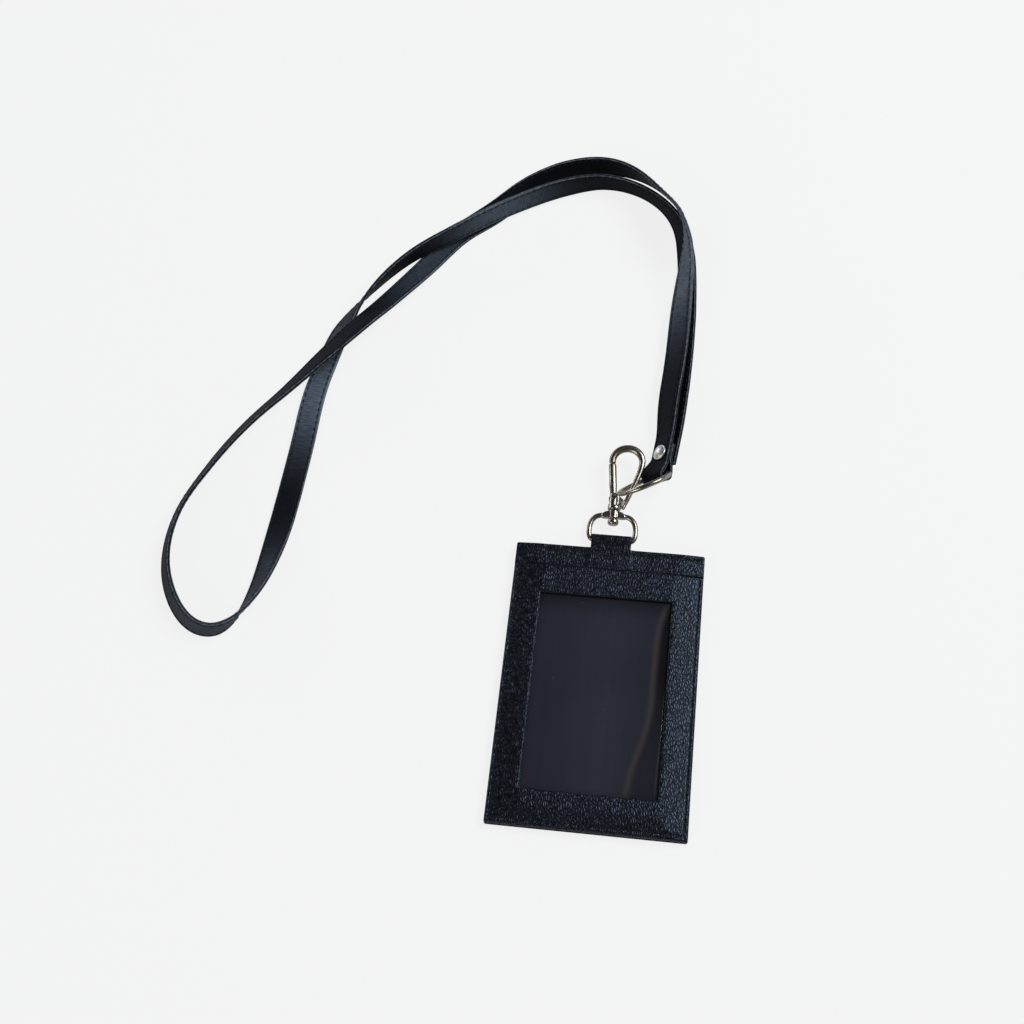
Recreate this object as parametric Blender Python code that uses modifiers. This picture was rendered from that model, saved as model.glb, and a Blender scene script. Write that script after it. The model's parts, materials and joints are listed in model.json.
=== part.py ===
"""Leather ID badge holder with a swivel clasp, a ring and a looped neck strap.

Metres, +Z up. The holder lies on its back: its back face is on z = 0, centred on the origin,
and +Y points to the clasp. Run with: blender --background --python part.py
"""
import math

import bmesh
import bpy
import numpy as np
from mathutils import Matrix, Vector

# Clearances
TOUCH_GAP = 0.0003
LAYER_GAP = 0.0002
OVERRUN = 0.001

# Holder: sheets stacked from the back face up
HOLDER_WIDTH = 0.075
HOLDER_HEIGHT = 0.113
CORNER_RADIUS = 0.0014
EDGE_ROUNDING = 0.00035
LEATHER_THICK = 0.0011
BOARD_THICK = 0.0006
LINING_THICK = 0.0003
FILM_THICK = 0.0003
CARD_ROOM = 0.0011
BAND_HEIGHT = 0.0092
BAND_THICK = 0.0031
SIDE_BORDER = 0.0118
TOP_BORDER = 0.0119
BOTTOM_BORDER = 0.0137
WINDOW_CORNER = 0.0007
FILM_INSET = 0.0018
FILM_BELOW_MOUTH = 0.0079
WELT_WIDTH = 0.006
WELT_INSET = 0.0006

# Hang tab: one strip folded round the eye's bar
TAB_WIDTH = 0.016
TAB_THICK = 0.0009
TAB_ROOT_DEPTH = 0.0076
TAB_REACH = 0.0066
TAB_FLARE = 0.0026

# Swivel eye, in the clasp's own plane: x across, y away from the holder
EYE_WIRE = 0.0021
EYE_HALF_WIDTH = 0.0093
EYE_HEIGHT = 0.0108
SOCKET_WIDTH = 0.0098
SOCKET_DEPTH = 0.0034
SOCKET_THICK = 0.0052
SOCKET_ROUNDING = 0.0007
CLASP_PITCH = math.radians(7.1)

# Swivel post
POST_RADIUS = 0.0014
POST_HEAD_RADIUS = 0.0023
POST_HEAD_HEIGHT = 0.0024
POST_GRIP = 0.0016

# Hook
COLLAR_RADIUS = 0.00275
COLLAR_HEIGHT = 0.0016
BASE_THICK = 0.0048
BASE_HEIGHT = 0.0059
BASE_WIDTH = 0.0051
HOOK_WIDTH = 0.0122
HOOK_LENGTH = 0.0262
HOOK_WIRE = 0.0031
HOOK_FLATNESS = 0.9
PIVOT_X = -0.0006
PIVOT_RISE = 0.0031

# Gate, its pin and its spring
HUB_RADIUS = 0.0019
HUB_THICK = 0.0024
GATE_WIRE = 0.0027
GATE_LEAN = 0.0016
PIN_RADIUS = 0.0006
SPRING_WIRE = 0.0003
SPRING_RADIUS = 0.0011
SPRING_POCKET = 0.0016
SPRING_TURNS = 2

# Strap ring
RING_RADIUS = 0.01065
RING_WIRE = 0.0020
RING_ROOM = 0.00029
RING_HOLD = math.radians(341.6)
RING_HEADING = math.radians(30.0)
RING_LEAN = math.radians(29.7)
LOOP_PLACE = math.radians(47.0)
LOOP_SPREAD = 1.08

# Neck strap, its end round the ring and the rivet's stack
STRAP_WIDTH = 0.010
STRAP_THICK = 0.0014
SWING_ROOM = 0.00045
LOOP_LENGTH = 0.0160
LOOP_BACK_LENGTH = 0.0150
LOOP_CLOSES_AT = 0.0062
TAIL_START = 0.0066
TAIL_SHIFT = 0.0008
RIVET_PLACE = 0.0110
STACK_ASIDE = -0.0003
STACK_AHEAD = -0.0008
STACK_ABOVE = -0.0007
STACK_HEADING = math.radians(7.0)
STACK_CLIMB = math.radians(3.5)
STACK_TILT = math.radians(48.0)
RIVET_CAP_RADIUS = 0.0033
RIVET_CAP_HEIGHT = 0.0013
RIVET_STEM_RADIUS = 0.0011
RIVET_BACK_HEIGHT = 0.0009

# The hook's wire from its foot over the bow to its tip: shares of the hook's width and length
HOOK_SHARES = (
    (0.260, 0.000), (0.330, 0.080), (0.430, 0.195), (0.560, 0.360), (0.690, 0.530),
    (0.785, 0.705), (0.797, 0.820), (0.705, 0.915), (0.505, 0.985), (0.275, 1.000),
    (0.060, 0.970), (-0.100, 0.905), (-0.185, 0.815), (-0.190, 0.745),
)
HOOK_WIRE_SHARES = (0.60, 0.62, 0.64, 0.68, 0.74, 0.80, 0.86, 0.94, 0.99, 1.0, 0.98, 0.94, 0.90, 0.87)

# Where the ring hangs on the hook's wire: its place and the wire's slope and thickness there
HOLD_SHARES = (0.589, 0.3917)
HOLD_SLOPE_SHARES = (0.130, 0.170)
HOLD_WIRE_SHARE = 0.69

# Half of the eye's wire, from the middle of its bar to the socket: shares of half width and height
EYE_SHARES = (
    (0.0, 0.0), (0.40, 0.0), (0.80, 0.0), (0.895, 0.0), (0.97, 0.055), (0.997, 0.17), (1.0, 0.36),
    (0.975, 0.58), (0.89, 0.77), (0.73, 0.905), (0.45, 0.975),
)

# Outline of the hook's base: shares of its width and height, from its lower left corner
BASE_SHARES = (
    (0.0, 0.0), (1.0, 0.0), (1.0, 0.25), (0.92, 0.60), (0.70, 0.82), (0.52, 0.88),
    (0.30, 0.90), (0.06, 0.80), (-0.04, 0.55),
)

# Free stretch of the neck strap, by hand: middle of the strap in metres, and its tilt in degrees.
# It goes out along the upper leg, round the loop and back along the lower leg.
STRAP_ROUTE = (
    (0.0185, 0.1245, 0.0072, -36), (0.0200, 0.1435, 0.0065, -31), (0.0210, 0.1745, 0.0066, -31),
    (0.0215, 0.1880, 0.0070, -38), (0.0210, 0.2055, 0.0078, -54), (0.0195, 0.2125, 0.0082, -64),
    (0.0100, 0.2310, 0.0060, -84), (-0.0070, 0.2450, 0.0052, -88), (-0.0205, 0.2460, 0.0052, -88),
    (-0.0360, 0.2420, 0.0053, -84), (-0.0515, 0.2315, 0.0051, -66), (-0.0665, 0.2170, 0.0035, -32),
    (-0.0790, 0.2080, 0.0013, -4), (-0.0930, 0.1880, 0.0019, 10), (-0.1110, 0.1625, 0.0027, 20),
    (-0.1185, 0.1510, 0.0037, 24), (-0.1285, 0.1355, 0.0062, 32), (-0.1450, 0.1155, 0.0044, 46),
    (-0.1550, 0.1040, 0.0044, 47), (-0.1705, 0.0775, 0.0046, 51), (-0.1785, 0.0570, 0.0047, 53),
    (-0.1790, 0.0360, 0.0047, 53), (-0.1760, 0.0260, 0.0047, 54), (-0.1715, 0.0180, 0.0048, 57),
    (-0.1670, 0.0125, 0.0049, 60), (-0.1615, 0.0085, 0.0051, 65), (-0.1515, 0.0075, 0.0052, 86),
    (-0.1475, 0.0105, 0.0052, 108), (-0.1395, 0.0265, 0.0040, 140), (-0.1375, 0.0365, 0.0031, 154),
    (-0.1360, 0.0505, 0.0017, 172), (-0.1335, 0.0895, 0.0011, 180), (-0.1315, 0.1255, 0.0024, 163),
    (-0.1290, 0.1370, 0.0034, 150), (-0.1255, 0.1475, 0.0046, 128), (-0.1205, 0.1585, 0.0051, 115),
    (-0.1155, 0.1680, 0.0052, 110), (-0.1010, 0.1865, 0.0057, 100), (-0.0795, 0.2030, 0.0077, 86),
    (-0.0570, 0.2210, 0.0053, 87), (-0.0330, 0.2335, 0.0053, 91), (-0.0195, 0.2370, 0.0052, 92),
    (-0.0020, 0.2335, 0.0053, 91), (0.0125, 0.2230, 0.0052, 80), (0.0180, 0.2140, 0.0050, 66),
    (0.0205, 0.2045, 0.0045, 54), (0.0230, 0.1770, 0.0036, 38), (0.0230, 0.1460, 0.0034, 34),
    (0.0222, 0.1260, 0.0042, 35),
)
STRAP_POINTS = 80
STRAP_LEAD = 0.0015

# Heights of the sheets in the holder
HALF_WIDTH = HOLDER_WIDTH / 2
HALF_HEIGHT = HOLDER_HEIGHT / 2
MOUTH_Y = HALF_HEIGHT - BAND_HEIGHT
BOARD_Z = LEATHER_THICK + LAYER_GAP
LINING_Z = BOARD_Z + BOARD_THICK + LAYER_GAP
FILM_Z = LINING_Z + LINING_THICK + CARD_ROOM
FRONT_Z = FILM_Z + FILM_THICK + LAYER_GAP
POCKET_HALF_WIDTH = HALF_WIDTH - WELT_WIDTH
POCKET_BOTTOM_Y = -HALF_HEIGHT + WELT_WIDTH
WINDOW_HALF_WIDTH = HALF_WIDTH - SIDE_BORDER
WINDOW_LOW_Y = -HALF_HEIGHT + BOTTOM_BORDER
WINDOW_HIGH_Y = MOUTH_Y - TOP_BORDER

# Place of the clasp: its bar lies in the fold of the tab
TAB_BEND = EYE_WIRE / 2 + TOUCH_GAP + TAB_THICK / 2
TAB_Z = BOARD_Z + TAB_THICK + LAYER_GAP / 2
BAR_Y = HALF_HEIGHT + TAB_REACH - TAB_BEND - TAB_THICK / 2
SOCKET_END = EYE_HEIGHT + SOCKET_DEPTH / 2
COLLAR_Y = SOCKET_END + TOUCH_GAP
BASE_Y = COLLAR_Y + COLLAR_HEIGHT
PIVOT_Y = BASE_Y + PIVOT_RISE

# The strap's plies: their bend round the ring's wire and their places in the rivet's stack
LOOP_BEND = RING_WIRE / 2 + SWING_ROOM + STRAP_THICK / 2
PLY_STEP = STRAP_THICK + TOUCH_GAP
TAIL_HEIGHT = -PLY_STEP * 3 / 2
CAP_SEAT = PLY_STEP / 2 + STRAP_THICK / 2 + TOUCH_GAP
RIVET_TAPER_SHARE = 0.78
RIVET_RIM_SHARE = 0.3

MATERIALS = {}


def material(name, colour, roughness, metallic=0.0):
    """Principled material, made once and shared by name."""
    if name not in MATERIALS:
        made = bpy.data.materials.new(name)
        made.use_nodes = True
        shader = made.node_tree.nodes["Principled BSDF"]
        shader.inputs["Base Color"].default_value = (*colour, 1.0)
        shader.inputs["Roughness"].default_value = roughness
        shader.inputs["Metallic"].default_value = metallic
        MATERIALS[name] = made
    return MATERIALS[name]


def leather():
    return material("leather", (0.010, 0.012, 0.018), 0.55)


def metal():
    return material("dark_nickel", (0.42, 0.39, 0.36), 0.22, 1.0)


def put(obj, group, parent=None, kind=None):
    """Links an object to a collection, under a parent empty, with one material."""
    bpy.data.collections[group].objects.link(obj)
    if parent is not None:
        obj.parent = parent
    if kind is not None:
        obj.data.materials.clear()
        obj.data.materials.append(kind)
    return obj


def cutter(obj, parent=None):
    """Keeps a Boolean operand out of the model."""
    put(obj, "cutters", parent)
    obj.hide_render = True
    obj.display_type = "WIRE"
    return obj


def boolean(target, other, operation="DIFFERENCE"):
    step = target.modifiers.new(operation.lower(), "BOOLEAN")
    step.operation = operation
    step.object = other
    return target


def empty(name, parent=None, matrix=None):
    made = bpy.data.objects.new(name, None)
    put(made, "frames", parent)
    if matrix is not None:
        made.matrix_local = matrix
    bpy.context.view_layer.update()
    return made


def object_from(name, build):
    """New mesh object from a bmesh, with its faces turned out."""
    bmesh.ops.recalc_face_normals(build, faces=build.faces)
    mesh = bpy.data.meshes.new(name)
    build.to_mesh(mesh)
    build.free()
    return bpy.data.objects.new(name, mesh)


def box(name, low, high):
    build = bmesh.new()
    bmesh.ops.create_cube(build, size=1.0)
    low = Vector(low)
    high = Vector(high)
    place = Matrix.Translation((low + high) / 2) @ Matrix.Diagonal((*(high - low), 1.0))
    bmesh.ops.transform(build, matrix=place, verts=build.verts)
    return object_from(name, build)


def cylinder(name, radius, low, high, axis="Z", sides=32, top_radius=None, centre=(0, 0)):
    """Cylinder or cone between two heights along its axis; centre gives the other two places."""
    build = bmesh.new()
    top = radius if top_radius is None else top_radius
    bmesh.ops.create_cone(build, cap_ends=True, segments=sides, radius1=radius, radius2=top, depth=high - low)
    lift = Matrix.Translation((centre[0], centre[1], (low + high) / 2))
    if axis == "Y":
        lift = Matrix.Rotation(-math.pi / 2, 4, "X") @ lift
    bmesh.ops.transform(build, matrix=lift, verts=build.verts)
    return object_from(name, build)


def soften(obj, width, segments=2):
    """Rounded edges, on the sharp edges alone."""
    step = obj.modifiers.new("rounded_edges", "BEVEL")
    step.width = width
    step.segments = segments
    step.limit_method = "ANGLE"
    step.angle_limit = math.radians(50)
    return obj


def rounded_rectangle(low, high, radius, steps=4):
    """Outline of a rectangle with round corners, counter-clockwise."""
    corners = (
        (high[0] - radius, low[1] + radius, -90), (high[0] - radius, high[1] - radius, 0),
        (low[0] + radius, high[1] - radius, 90), (low[0] + radius, low[1] + radius, 180),
    )
    points = []
    for x, y, start in corners:
        for step in range(steps + 1):
            turn = math.radians(start + 90 * step / steps)
            points.append((x + radius * math.cos(turn), y + radius * math.sin(turn)))
    return points


def sheet(name, outlines, low, thick):
    """Flat sheet from a filled 2D curve; outlines after the first are holes."""
    curve = bpy.data.curves.new(name, "CURVE")
    curve.dimensions = "2D"
    curve.fill_mode = "BOTH"
    curve.extrude = thick / 2
    for outline in outlines:
        spline = curve.splines.new("POLY")
        spline.points.add(len(outline) - 1)
        for point, place in zip(spline.points, outline):
            point.co = (place[0], place[1], 0.0, 1.0)
        spline.use_cyclic_u = True
    made = bake(bpy.data.objects.new(name, curve))
    made.location.z = low + thick / 2
    return made


def bake(obj, weld=1e-6):
    """Mesh object from a curve or from an object with modifiers, its caps welded."""
    bpy.context.scene.collection.objects.link(obj)
    bpy.context.view_layer.update()
    graph = bpy.context.evaluated_depsgraph_get()
    mesh = bpy.data.meshes.new_from_object(obj.evaluated_get(graph))
    build = bmesh.new()
    build.from_mesh(mesh)
    bmesh.ops.remove_doubles(build, verts=build.verts, dist=weld)
    bmesh.ops.recalc_face_normals(build, faces=build.faces)
    build.to_mesh(mesh)
    build.free()
    made = bpy.data.objects.new(obj.name, mesh)
    made.matrix_world = obj.matrix_world
    bpy.data.objects.remove(obj)
    made.name = mesh.name
    return made


def smooth_path(rows, spans):
    """Smooth curve through rows of numbers, with a few points in each span."""
    rows = np.array(rows, dtype=float)
    gaps = np.linalg.norm(np.diff(rows[:, :3], axis=0), axis=1)[:, None]
    steps = np.diff(rows, axis=0) / gaps
    inner = (steps[1:] * gaps[:-1] + steps[:-1] * gaps[1:]) / (gaps[1:] + gaps[:-1])
    slopes = np.vstack([steps[:1], inner, steps[-1:]])
    t = (np.arange(spans) / spans)[:, None]
    found = []
    for index, gap in enumerate(gaps):
        near = rows[index] * (1 + 2 * t) + slopes[index] * gap * t
        far = rows[index + 1] * (3 - 2 * t) + slopes[index + 1] * gap * (t - 1)
        found.append(near * (1 - t) ** 2 + far * t ** 2)
    return np.vstack(found + [rows[-1:]])


def wire(name, points, diameter, shares=None, resolution=3, cyclic=False):
    """Round wire along a list of points; shares scale its diameter from place to place."""
    curve = bpy.data.curves.new(name, "CURVE")
    curve.dimensions = "3D"
    curve.bevel_depth = diameter / 2
    curve.bevel_resolution = resolution
    curve.use_fill_caps = not cyclic
    spline = curve.splines.new("POLY")
    spline.points.add(len(points) - 1)
    for index, place in enumerate(points):
        spline.points[index].co = (*place, 1.0)
        if shares is not None:
            spline.points[index].radius = shares[index]
    spline.use_cyclic_u = cyclic
    return bake(bpy.data.objects.new(name, curve))


def back_panel():
    outline = rounded_rectangle((-HALF_WIDTH, -HALF_HEIGHT), (HALF_WIDTH, HALF_HEIGHT), CORNER_RADIUS)
    made = sheet("back_panel", [outline], 0.0, LEATHER_THICK)
    put(made, "id_holder", kind=leather())
    soften(made, EDGE_ROUNDING)


def pocket_sheet(name, low, thick, kind):
    """Board or lining, inside the welt and below the band."""
    half = POCKET_HALF_WIDTH - TOUCH_GAP
    bottom = POCKET_BOTTOM_Y + TOUCH_GAP
    top = HALF_HEIGHT - BAND_HEIGHT - TOUCH_GAP
    outline = rounded_rectangle((-half, bottom), (half, top), CORNER_RADIUS)
    put(sheet(name, [outline], low, thick), "id_holder", kind=kind)


def edge_welt():
    """U-shaped strip that holds the front and the back apart and leaves room for a card."""
    low_x = HALF_WIDTH - WELT_INSET
    low_y = -HALF_HEIGHT + WELT_INSET
    outline = (
        (-low_x, low_y), (low_x, low_y), (low_x, MOUTH_Y), (POCKET_HALF_WIDTH, MOUTH_Y),
        (POCKET_HALF_WIDTH, POCKET_BOTTOM_Y), (-POCKET_HALF_WIDTH, POCKET_BOTTOM_Y),
        (-POCKET_HALF_WIDTH, MOUTH_Y), (-low_x, MOUTH_Y),
    )
    thick = FRONT_Z - LAYER_GAP - BOARD_Z
    put(sheet("edge_welt", [outline], BOARD_Z, thick), "id_holder", kind=leather())


def window_film():
    half = POCKET_HALF_WIDTH - FILM_INSET
    low_y = POCKET_BOTTOM_Y + FILM_INSET
    outline = rounded_rectangle((-half, low_y), (half, MOUTH_Y - FILM_BELOW_MOUTH), CORNER_RADIUS)
    clear = material("clear_film", (0.02, 0.02, 0.025), 0.08)
    put(sheet("window_film", [outline], FILM_Z, FILM_THICK), "id_holder", kind=clear)


def front_panel():
    """Leather frame of the pocket with its window cut out."""
    outer = rounded_rectangle((-HALF_WIDTH, -HALF_HEIGHT), (HALF_WIDTH, MOUTH_Y), CORNER_RADIUS)
    low = (-WINDOW_HALF_WIDTH, WINDOW_LOW_Y)
    window = rounded_rectangle(low, (WINDOW_HALF_WIDTH, WINDOW_HIGH_Y), WINDOW_CORNER)
    made = sheet("front_panel", [outer, window], FRONT_Z, LEATHER_THICK)
    put(made, "id_holder", kind=leather())
    soften(made, EDGE_ROUNDING)


def top_band():
    """Strip above the pocket's mouth; the tab's two plies are gripped in a channel under it."""
    low_y = MOUTH_Y + TOUCH_GAP
    outline = rounded_rectangle((-HALF_WIDTH, low_y), (HALF_WIDTH, HALF_HEIGHT), CORNER_RADIUS)
    made = sheet("top_band", [outline], BOARD_Z, BAND_THICK)
    put(made, "id_holder", kind=leather())
    half = TAB_WIDTH / 2 + TOUCH_GAP
    root = HALF_HEIGHT - TAB_ROOT_DEPTH - TOUCH_GAP
    top = BOARD_Z + 2 * TAB_THICK + 2 * LAYER_GAP
    channel = box("tab_channel", (-half, root, 0.0), (half, HALF_HEIGHT + OVERRUN, top))
    boolean(made, cutter(channel))
    soften(made, EDGE_ROUNDING)


def hang_tab():
    """Leather strip: two plies side by side in the band, opened round the eye's bar."""
    pressed = (TAB_THICK + LAYER_GAP) / 2
    root = HALF_HEIGHT - TAB_ROOT_DEPTH
    side = [(root, pressed), (BAR_Y - TAB_FLARE, pressed)]
    bend_start = math.radians(18)
    for step in range(9):
        turn = math.pi / 2 + bend_start - (math.pi + 2 * bend_start) * step / 8
        side.append((BAR_Y + TAB_BEND * math.cos(turn), TAB_BEND * math.sin(turn)))
    side += [(BAR_Y - TAB_FLARE, -pressed), (root, -pressed)]
    build = bmesh.new()
    rows = []
    for x in (-TAB_WIDTH / 2, TAB_WIDTH / 2):
        rows.append([build.verts.new((x, y, TAB_Z + z)) for y, z in side])
    for index in range(len(side) - 1):
        build.faces.new((rows[0][index], rows[1][index], rows[1][index + 1], rows[0][index + 1]))
    made = put(object_from("hang_tab", build), "id_holder", kind=leather())
    shell = made.modifiers.new("leather", "SOLIDIFY")
    shell.thickness = TAB_THICK
    shell.offset = 0.0
    shell.use_even_offset = True


def swivel_eye(frame):
    """Wire eye through the tab, with a flat socket that the post turns in."""
    half = smooth_path([(x * EYE_HALF_WIDTH, y * EYE_HEIGHT, 0.0) for x, y in EYE_SHARES], 2)
    left = [(-x, y, z) for x, y, z in half[:0:-1]]
    loop = wire("eye_wire", left + [tuple(place) for place in half], EYE_WIRE)
    made = put(loop, "id_holder", frame, metal())
    made.name = "swivel_eye"
    across = SOCKET_WIDTH / 2
    low = (-across, EYE_HEIGHT - SOCKET_DEPTH / 2, -SOCKET_THICK / 2)
    high = (across, SOCKET_END, SOCKET_THICK / 2)
    socket = soften(box("eye_socket", low, high), SOCKET_ROUNDING)
    boolean(made, cutter(socket, frame), "UNION")
    bore = cylinder("post_bore", POST_RADIUS + TOUCH_GAP, low[1] - OVERRUN, high[1] + OVERRUN, "Y")
    boolean(made, cutter(bore, frame))
    made.data.shade_smooth()


def swivel_post(frame):
    """Headed post: its head under the socket, its shaft through it and into the collar."""
    under = EYE_HEIGHT - SOCKET_DEPTH / 2 - TOUCH_GAP
    top = COLLAR_Y + POST_GRIP
    made = cylinder("swivel_post", POST_HEAD_RADIUS, under - POST_HEAD_HEIGHT, under, "Y",
                    top_radius=POST_RADIUS + TOUCH_GAP)
    put(made, "id_holder", frame, metal())
    shaft = cylinder("post_shaft", POST_RADIUS, under - POST_HEAD_HEIGHT / 2, top, "Y")
    boolean(made, cutter(shaft, frame), "UNION")


def hook_place(x_share, y_share):
    """Place in the hook's plane; the foot of its wire lies inside the collar."""
    foot = BASE_Y - COLLAR_HEIGHT / 2
    return Vector((x_share * HOOK_WIDTH, foot + y_share * HOOK_LENGTH, 0.0))


def hook_path():
    """Middle line of the hook's wire, from its foot in the collar to its tip."""
    points = [hook_place(x, y) for x, y in HOOK_SHARES]
    rows = [(*place, share) for place, share in zip(points, HOOK_WIRE_SHARES)]
    return smooth_path(rows, 3)


def hook_body(frame):
    """Collar, forked base and the curved wire in one casting."""
    made = cylinder("hook_body", COLLAR_RADIUS, COLLAR_Y, BASE_Y, "Y", sides=40)
    put(made, "id_holder", frame, metal())
    left = PIVOT_X - HUB_RADIUS
    outline = [(left + x * BASE_WIDTH, BASE_Y - LAYER_GAP + y * BASE_HEIGHT) for x, y in BASE_SHARES]
    base = sheet("hook_base", [outline], -BASE_THICK / 2, BASE_THICK)
    boolean(made, cutter(base, frame), "UNION")
    path = hook_path()
    limb = wire("hook_wire", path[:, :3], HOOK_WIRE, path[:, 3])
    limb.scale.z = HOOK_FLATNESS
    boolean(made, cutter(limb, frame), "UNION")
    slot_half = HUB_THICK / 2 + TOUCH_GAP
    reach = HUB_RADIUS + TOUCH_GAP
    low = (PIVOT_X - reach - BASE_WIDTH, PIVOT_Y - reach, -slot_half)
    high = (PIVOT_X + reach, PIVOT_Y + BASE_HEIGHT, slot_half)
    boolean(made, cutter(box("gate_slot", low, high), frame))
    hole = cylinder("pin_hole", PIN_RADIUS + TOUCH_GAP, -BASE_THICK, BASE_THICK, centre=(PIVOT_X, PIVOT_Y))
    boolean(made, cutter(hole, frame))
    bore = cylinder("post_grip", POST_RADIUS + TOUCH_GAP, COLLAR_Y - OVERRUN,
                    COLLAR_Y + POST_GRIP + TOUCH_GAP, "Y")
    boolean(made, cutter(bore, frame))


def hook_gate(pivot):
    """Straight gate: a rod on a hub, closed against the hook's tip."""
    tip = hook_path()[-1]
    length = tip[1] - PIVOT_Y - 2 * TOUCH_GAP
    made = cylinder("hook_gate", HUB_RADIUS, -HUB_THICK / 2, HUB_THICK / 2)
    put(made, "id_holder", pivot, metal())
    rod = wire("gate_rod", [(0.0, 0.0, 0.0), (-GATE_LEAN, length, 0.0)], GATE_WIRE, resolution=4)
    rod.scale.z = HUB_THICK / GATE_WIRE * HOOK_FLATNESS
    boolean(made, cutter(rod, pivot), "UNION")
    hole = cylinder("gate_hole", PIN_RADIUS + TOUCH_GAP, -BASE_THICK, BASE_THICK)
    boolean(made, cutter(hole, pivot))
    pocket = cylinder("spring_pocket", SPRING_RADIUS + SPRING_WIRE / 2 + TOUCH_GAP / 2,
                      HUB_THICK / 2 - SPRING_POCKET, BASE_THICK)
    boolean(made, cutter(pocket, pivot))


def gate_pin(pivot):
    made = cylinder("gate_pin", PIN_RADIUS, -BASE_THICK / 2, BASE_THICK / 2, sides=20)
    put(made, "id_holder", pivot, metal())


def gate_spring(pivot):
    """Torsion spring coiled round the pin, in the hub's pocket."""
    low = HUB_THICK / 2 - SPRING_POCKET + SPRING_WIRE
    rise = (SPRING_POCKET - 2 * SPRING_WIRE) / SPRING_TURNS
    points = []
    for step in range(SPRING_TURNS * 12 + 1):
        turn = 2 * math.pi * step / 12
        points.append((SPRING_RADIUS * math.cos(turn), SPRING_RADIUS * math.sin(turn), low + rise * step / 12))
    steel = material("spring_steel", (0.5, 0.5, 0.5), 0.3, 1.0)
    put(wire("gate_spring", points, SPRING_WIRE, resolution=1), "id_holder", pivot, steel)


def ring_frame(clasp):
    """Empty at the ring's centre: x level along the ring, y up it, z through it."""
    along = Vector((math.cos(RING_HEADING), math.sin(RING_HEADING), 0.0))
    level = Vector((-math.sin(RING_HEADING), math.cos(RING_HEADING), 0.0))
    through = level * math.cos(RING_LEAN) + Vector((0.0, 0.0, math.sin(RING_LEAN)))
    up = through.cross(along)
    if up.z < 0:
        up = -up
    turned = Matrix((along, up, along.cross(up))).transposed()
    slope = hook_place(*HOLD_SLOPE_SHARES) - hook_place(0.0, 0.0)
    beside = (clasp.matrix_local.to_3x3() @ slope).cross(turned @ ring_tangent(RING_HOLD)).normalized()
    if beside.z > 0:
        beside = -beside
    room = HOOK_WIRE / 2 * HOLD_WIRE_SHARE + RING_WIRE / 2 + RING_ROOM
    centre = clasp.matrix_local @ hook_place(*HOLD_SHARES) + beside * room - turned @ ring_point(RING_HOLD)
    return empty("ring_frame", matrix=Matrix.Translation(centre) @ turned.to_4x4())


def ring_point(turn):
    """Place on the middle of the ring's wire; the turn is counted from its lowest point."""
    return Vector((RING_RADIUS * math.sin(turn), -RING_RADIUS * math.cos(turn), 0.0))


def ring_tangent(turn):
    return Vector((math.cos(turn), math.sin(turn), 0.0))


def strap_ring(frame):
    points = [ring_point(2 * math.pi * step / 56) for step in range(56)]
    put(wire("strap_ring", points, RING_WIRE, resolution=3, cyclic=True), "id_holder", frame, metal())


def stack_frame(ring):
    """Empty in the middle of the loop's two plies at the rivet: x across, y along, z off the face."""
    reach = math.cos(STACK_CLIMB)
    along = Vector((math.sin(STACK_HEADING) * reach, math.cos(STACK_HEADING) * reach, math.sin(STACK_CLIMB)))
    level = Vector((math.cos(STACK_HEADING), -math.sin(STACK_HEADING), 0.0))
    up = level.cross(along)
    across = level * math.cos(STACK_TILT) + up * math.sin(STACK_TILT)
    turned = Matrix((across, along, across.cross(along))).transposed()
    offset = turned @ Vector((STACK_ASIDE, RIVET_PLACE + STACK_AHEAD, STACK_ABOVE))
    place = ring.matrix_local @ ring_point(LOOP_PLACE) + offset
    return empty("stack_frame", matrix=Matrix.Translation(place) @ turned.to_4x4())


def eased(along):
    """How far the loop has closed, from none at the ring's wire to all at the stack."""
    share = min(max(along / LOOP_CLOSES_AT, 0.0), 1.0)
    return share * share * (3 - 2 * share)


def strap_place(ring, stack, along, aside, side):
    """Place on a ply's middle face; side is 1 for the upper ply and -1 for the lower one."""
    turn = LOOP_PLACE + aside * LOOP_SPREAD / RING_RADIUS
    wire_place = ring.matrix_local @ ring_point(turn)
    tangent = ring.matrix_local.to_3x3() @ ring_tangent(turn)
    toward = stack.matrix_local @ Vector((aside, 0.0, 0.0)) - wire_place
    away = (toward - tangent * toward.dot(tangent)).normalized()
    height = side * (LOOP_BEND + (PLY_STEP / 2 - LOOP_BEND) * eased(along))
    near = wire_place + away * along + tangent.cross(away) * height
    far = stack.matrix_local @ Vector((aside, along - RIVET_PLACE, height))
    return near.lerp(far, eased(along))


def loop_side():
    """The strap's path seen from its edge, as (along, side): upper ply, bend, lower ply."""
    side = [(LOOP_LENGTH * (1 - step / 10), 1.0) for step in range(10)]
    for step in range(13):
        turn = math.pi * (0.5 - step / 12)
        side.append((-LOOP_BEND * math.cos(turn), math.sin(turn)))
    side += [(LOOP_BACK_LENGTH * step / 9, -1.0) for step in range(1, 10)]
    return side


def strap_end_loop(ring, stack):
    """End of the strap that goes round the ring and comes back under itself."""
    build = bmesh.new()
    columns = []
    for column in range(7):
        aside = STRAP_WIDTH * (column / 6 - 0.5)
        places = [strap_place(ring, stack, along, aside, side) for along, side in loop_side()]
        columns.append([build.verts.new(place) for place in places])
    for first, second in zip(columns, columns[1:]):
        for index in range(len(first) - 1):
            build.faces.new((first[index], second[index], second[index + 1], first[index + 1]))
    made = put(object_from("strap_end_loop", build), "id_holder", kind=leather())
    shell = made.modifiers.new("leather", "SOLIDIFY")
    shell.thickness = STRAP_THICK
    shell.offset = 0.0
    shell.use_even_offset = True
    boolean(made, rivet_hole(stack))


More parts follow.
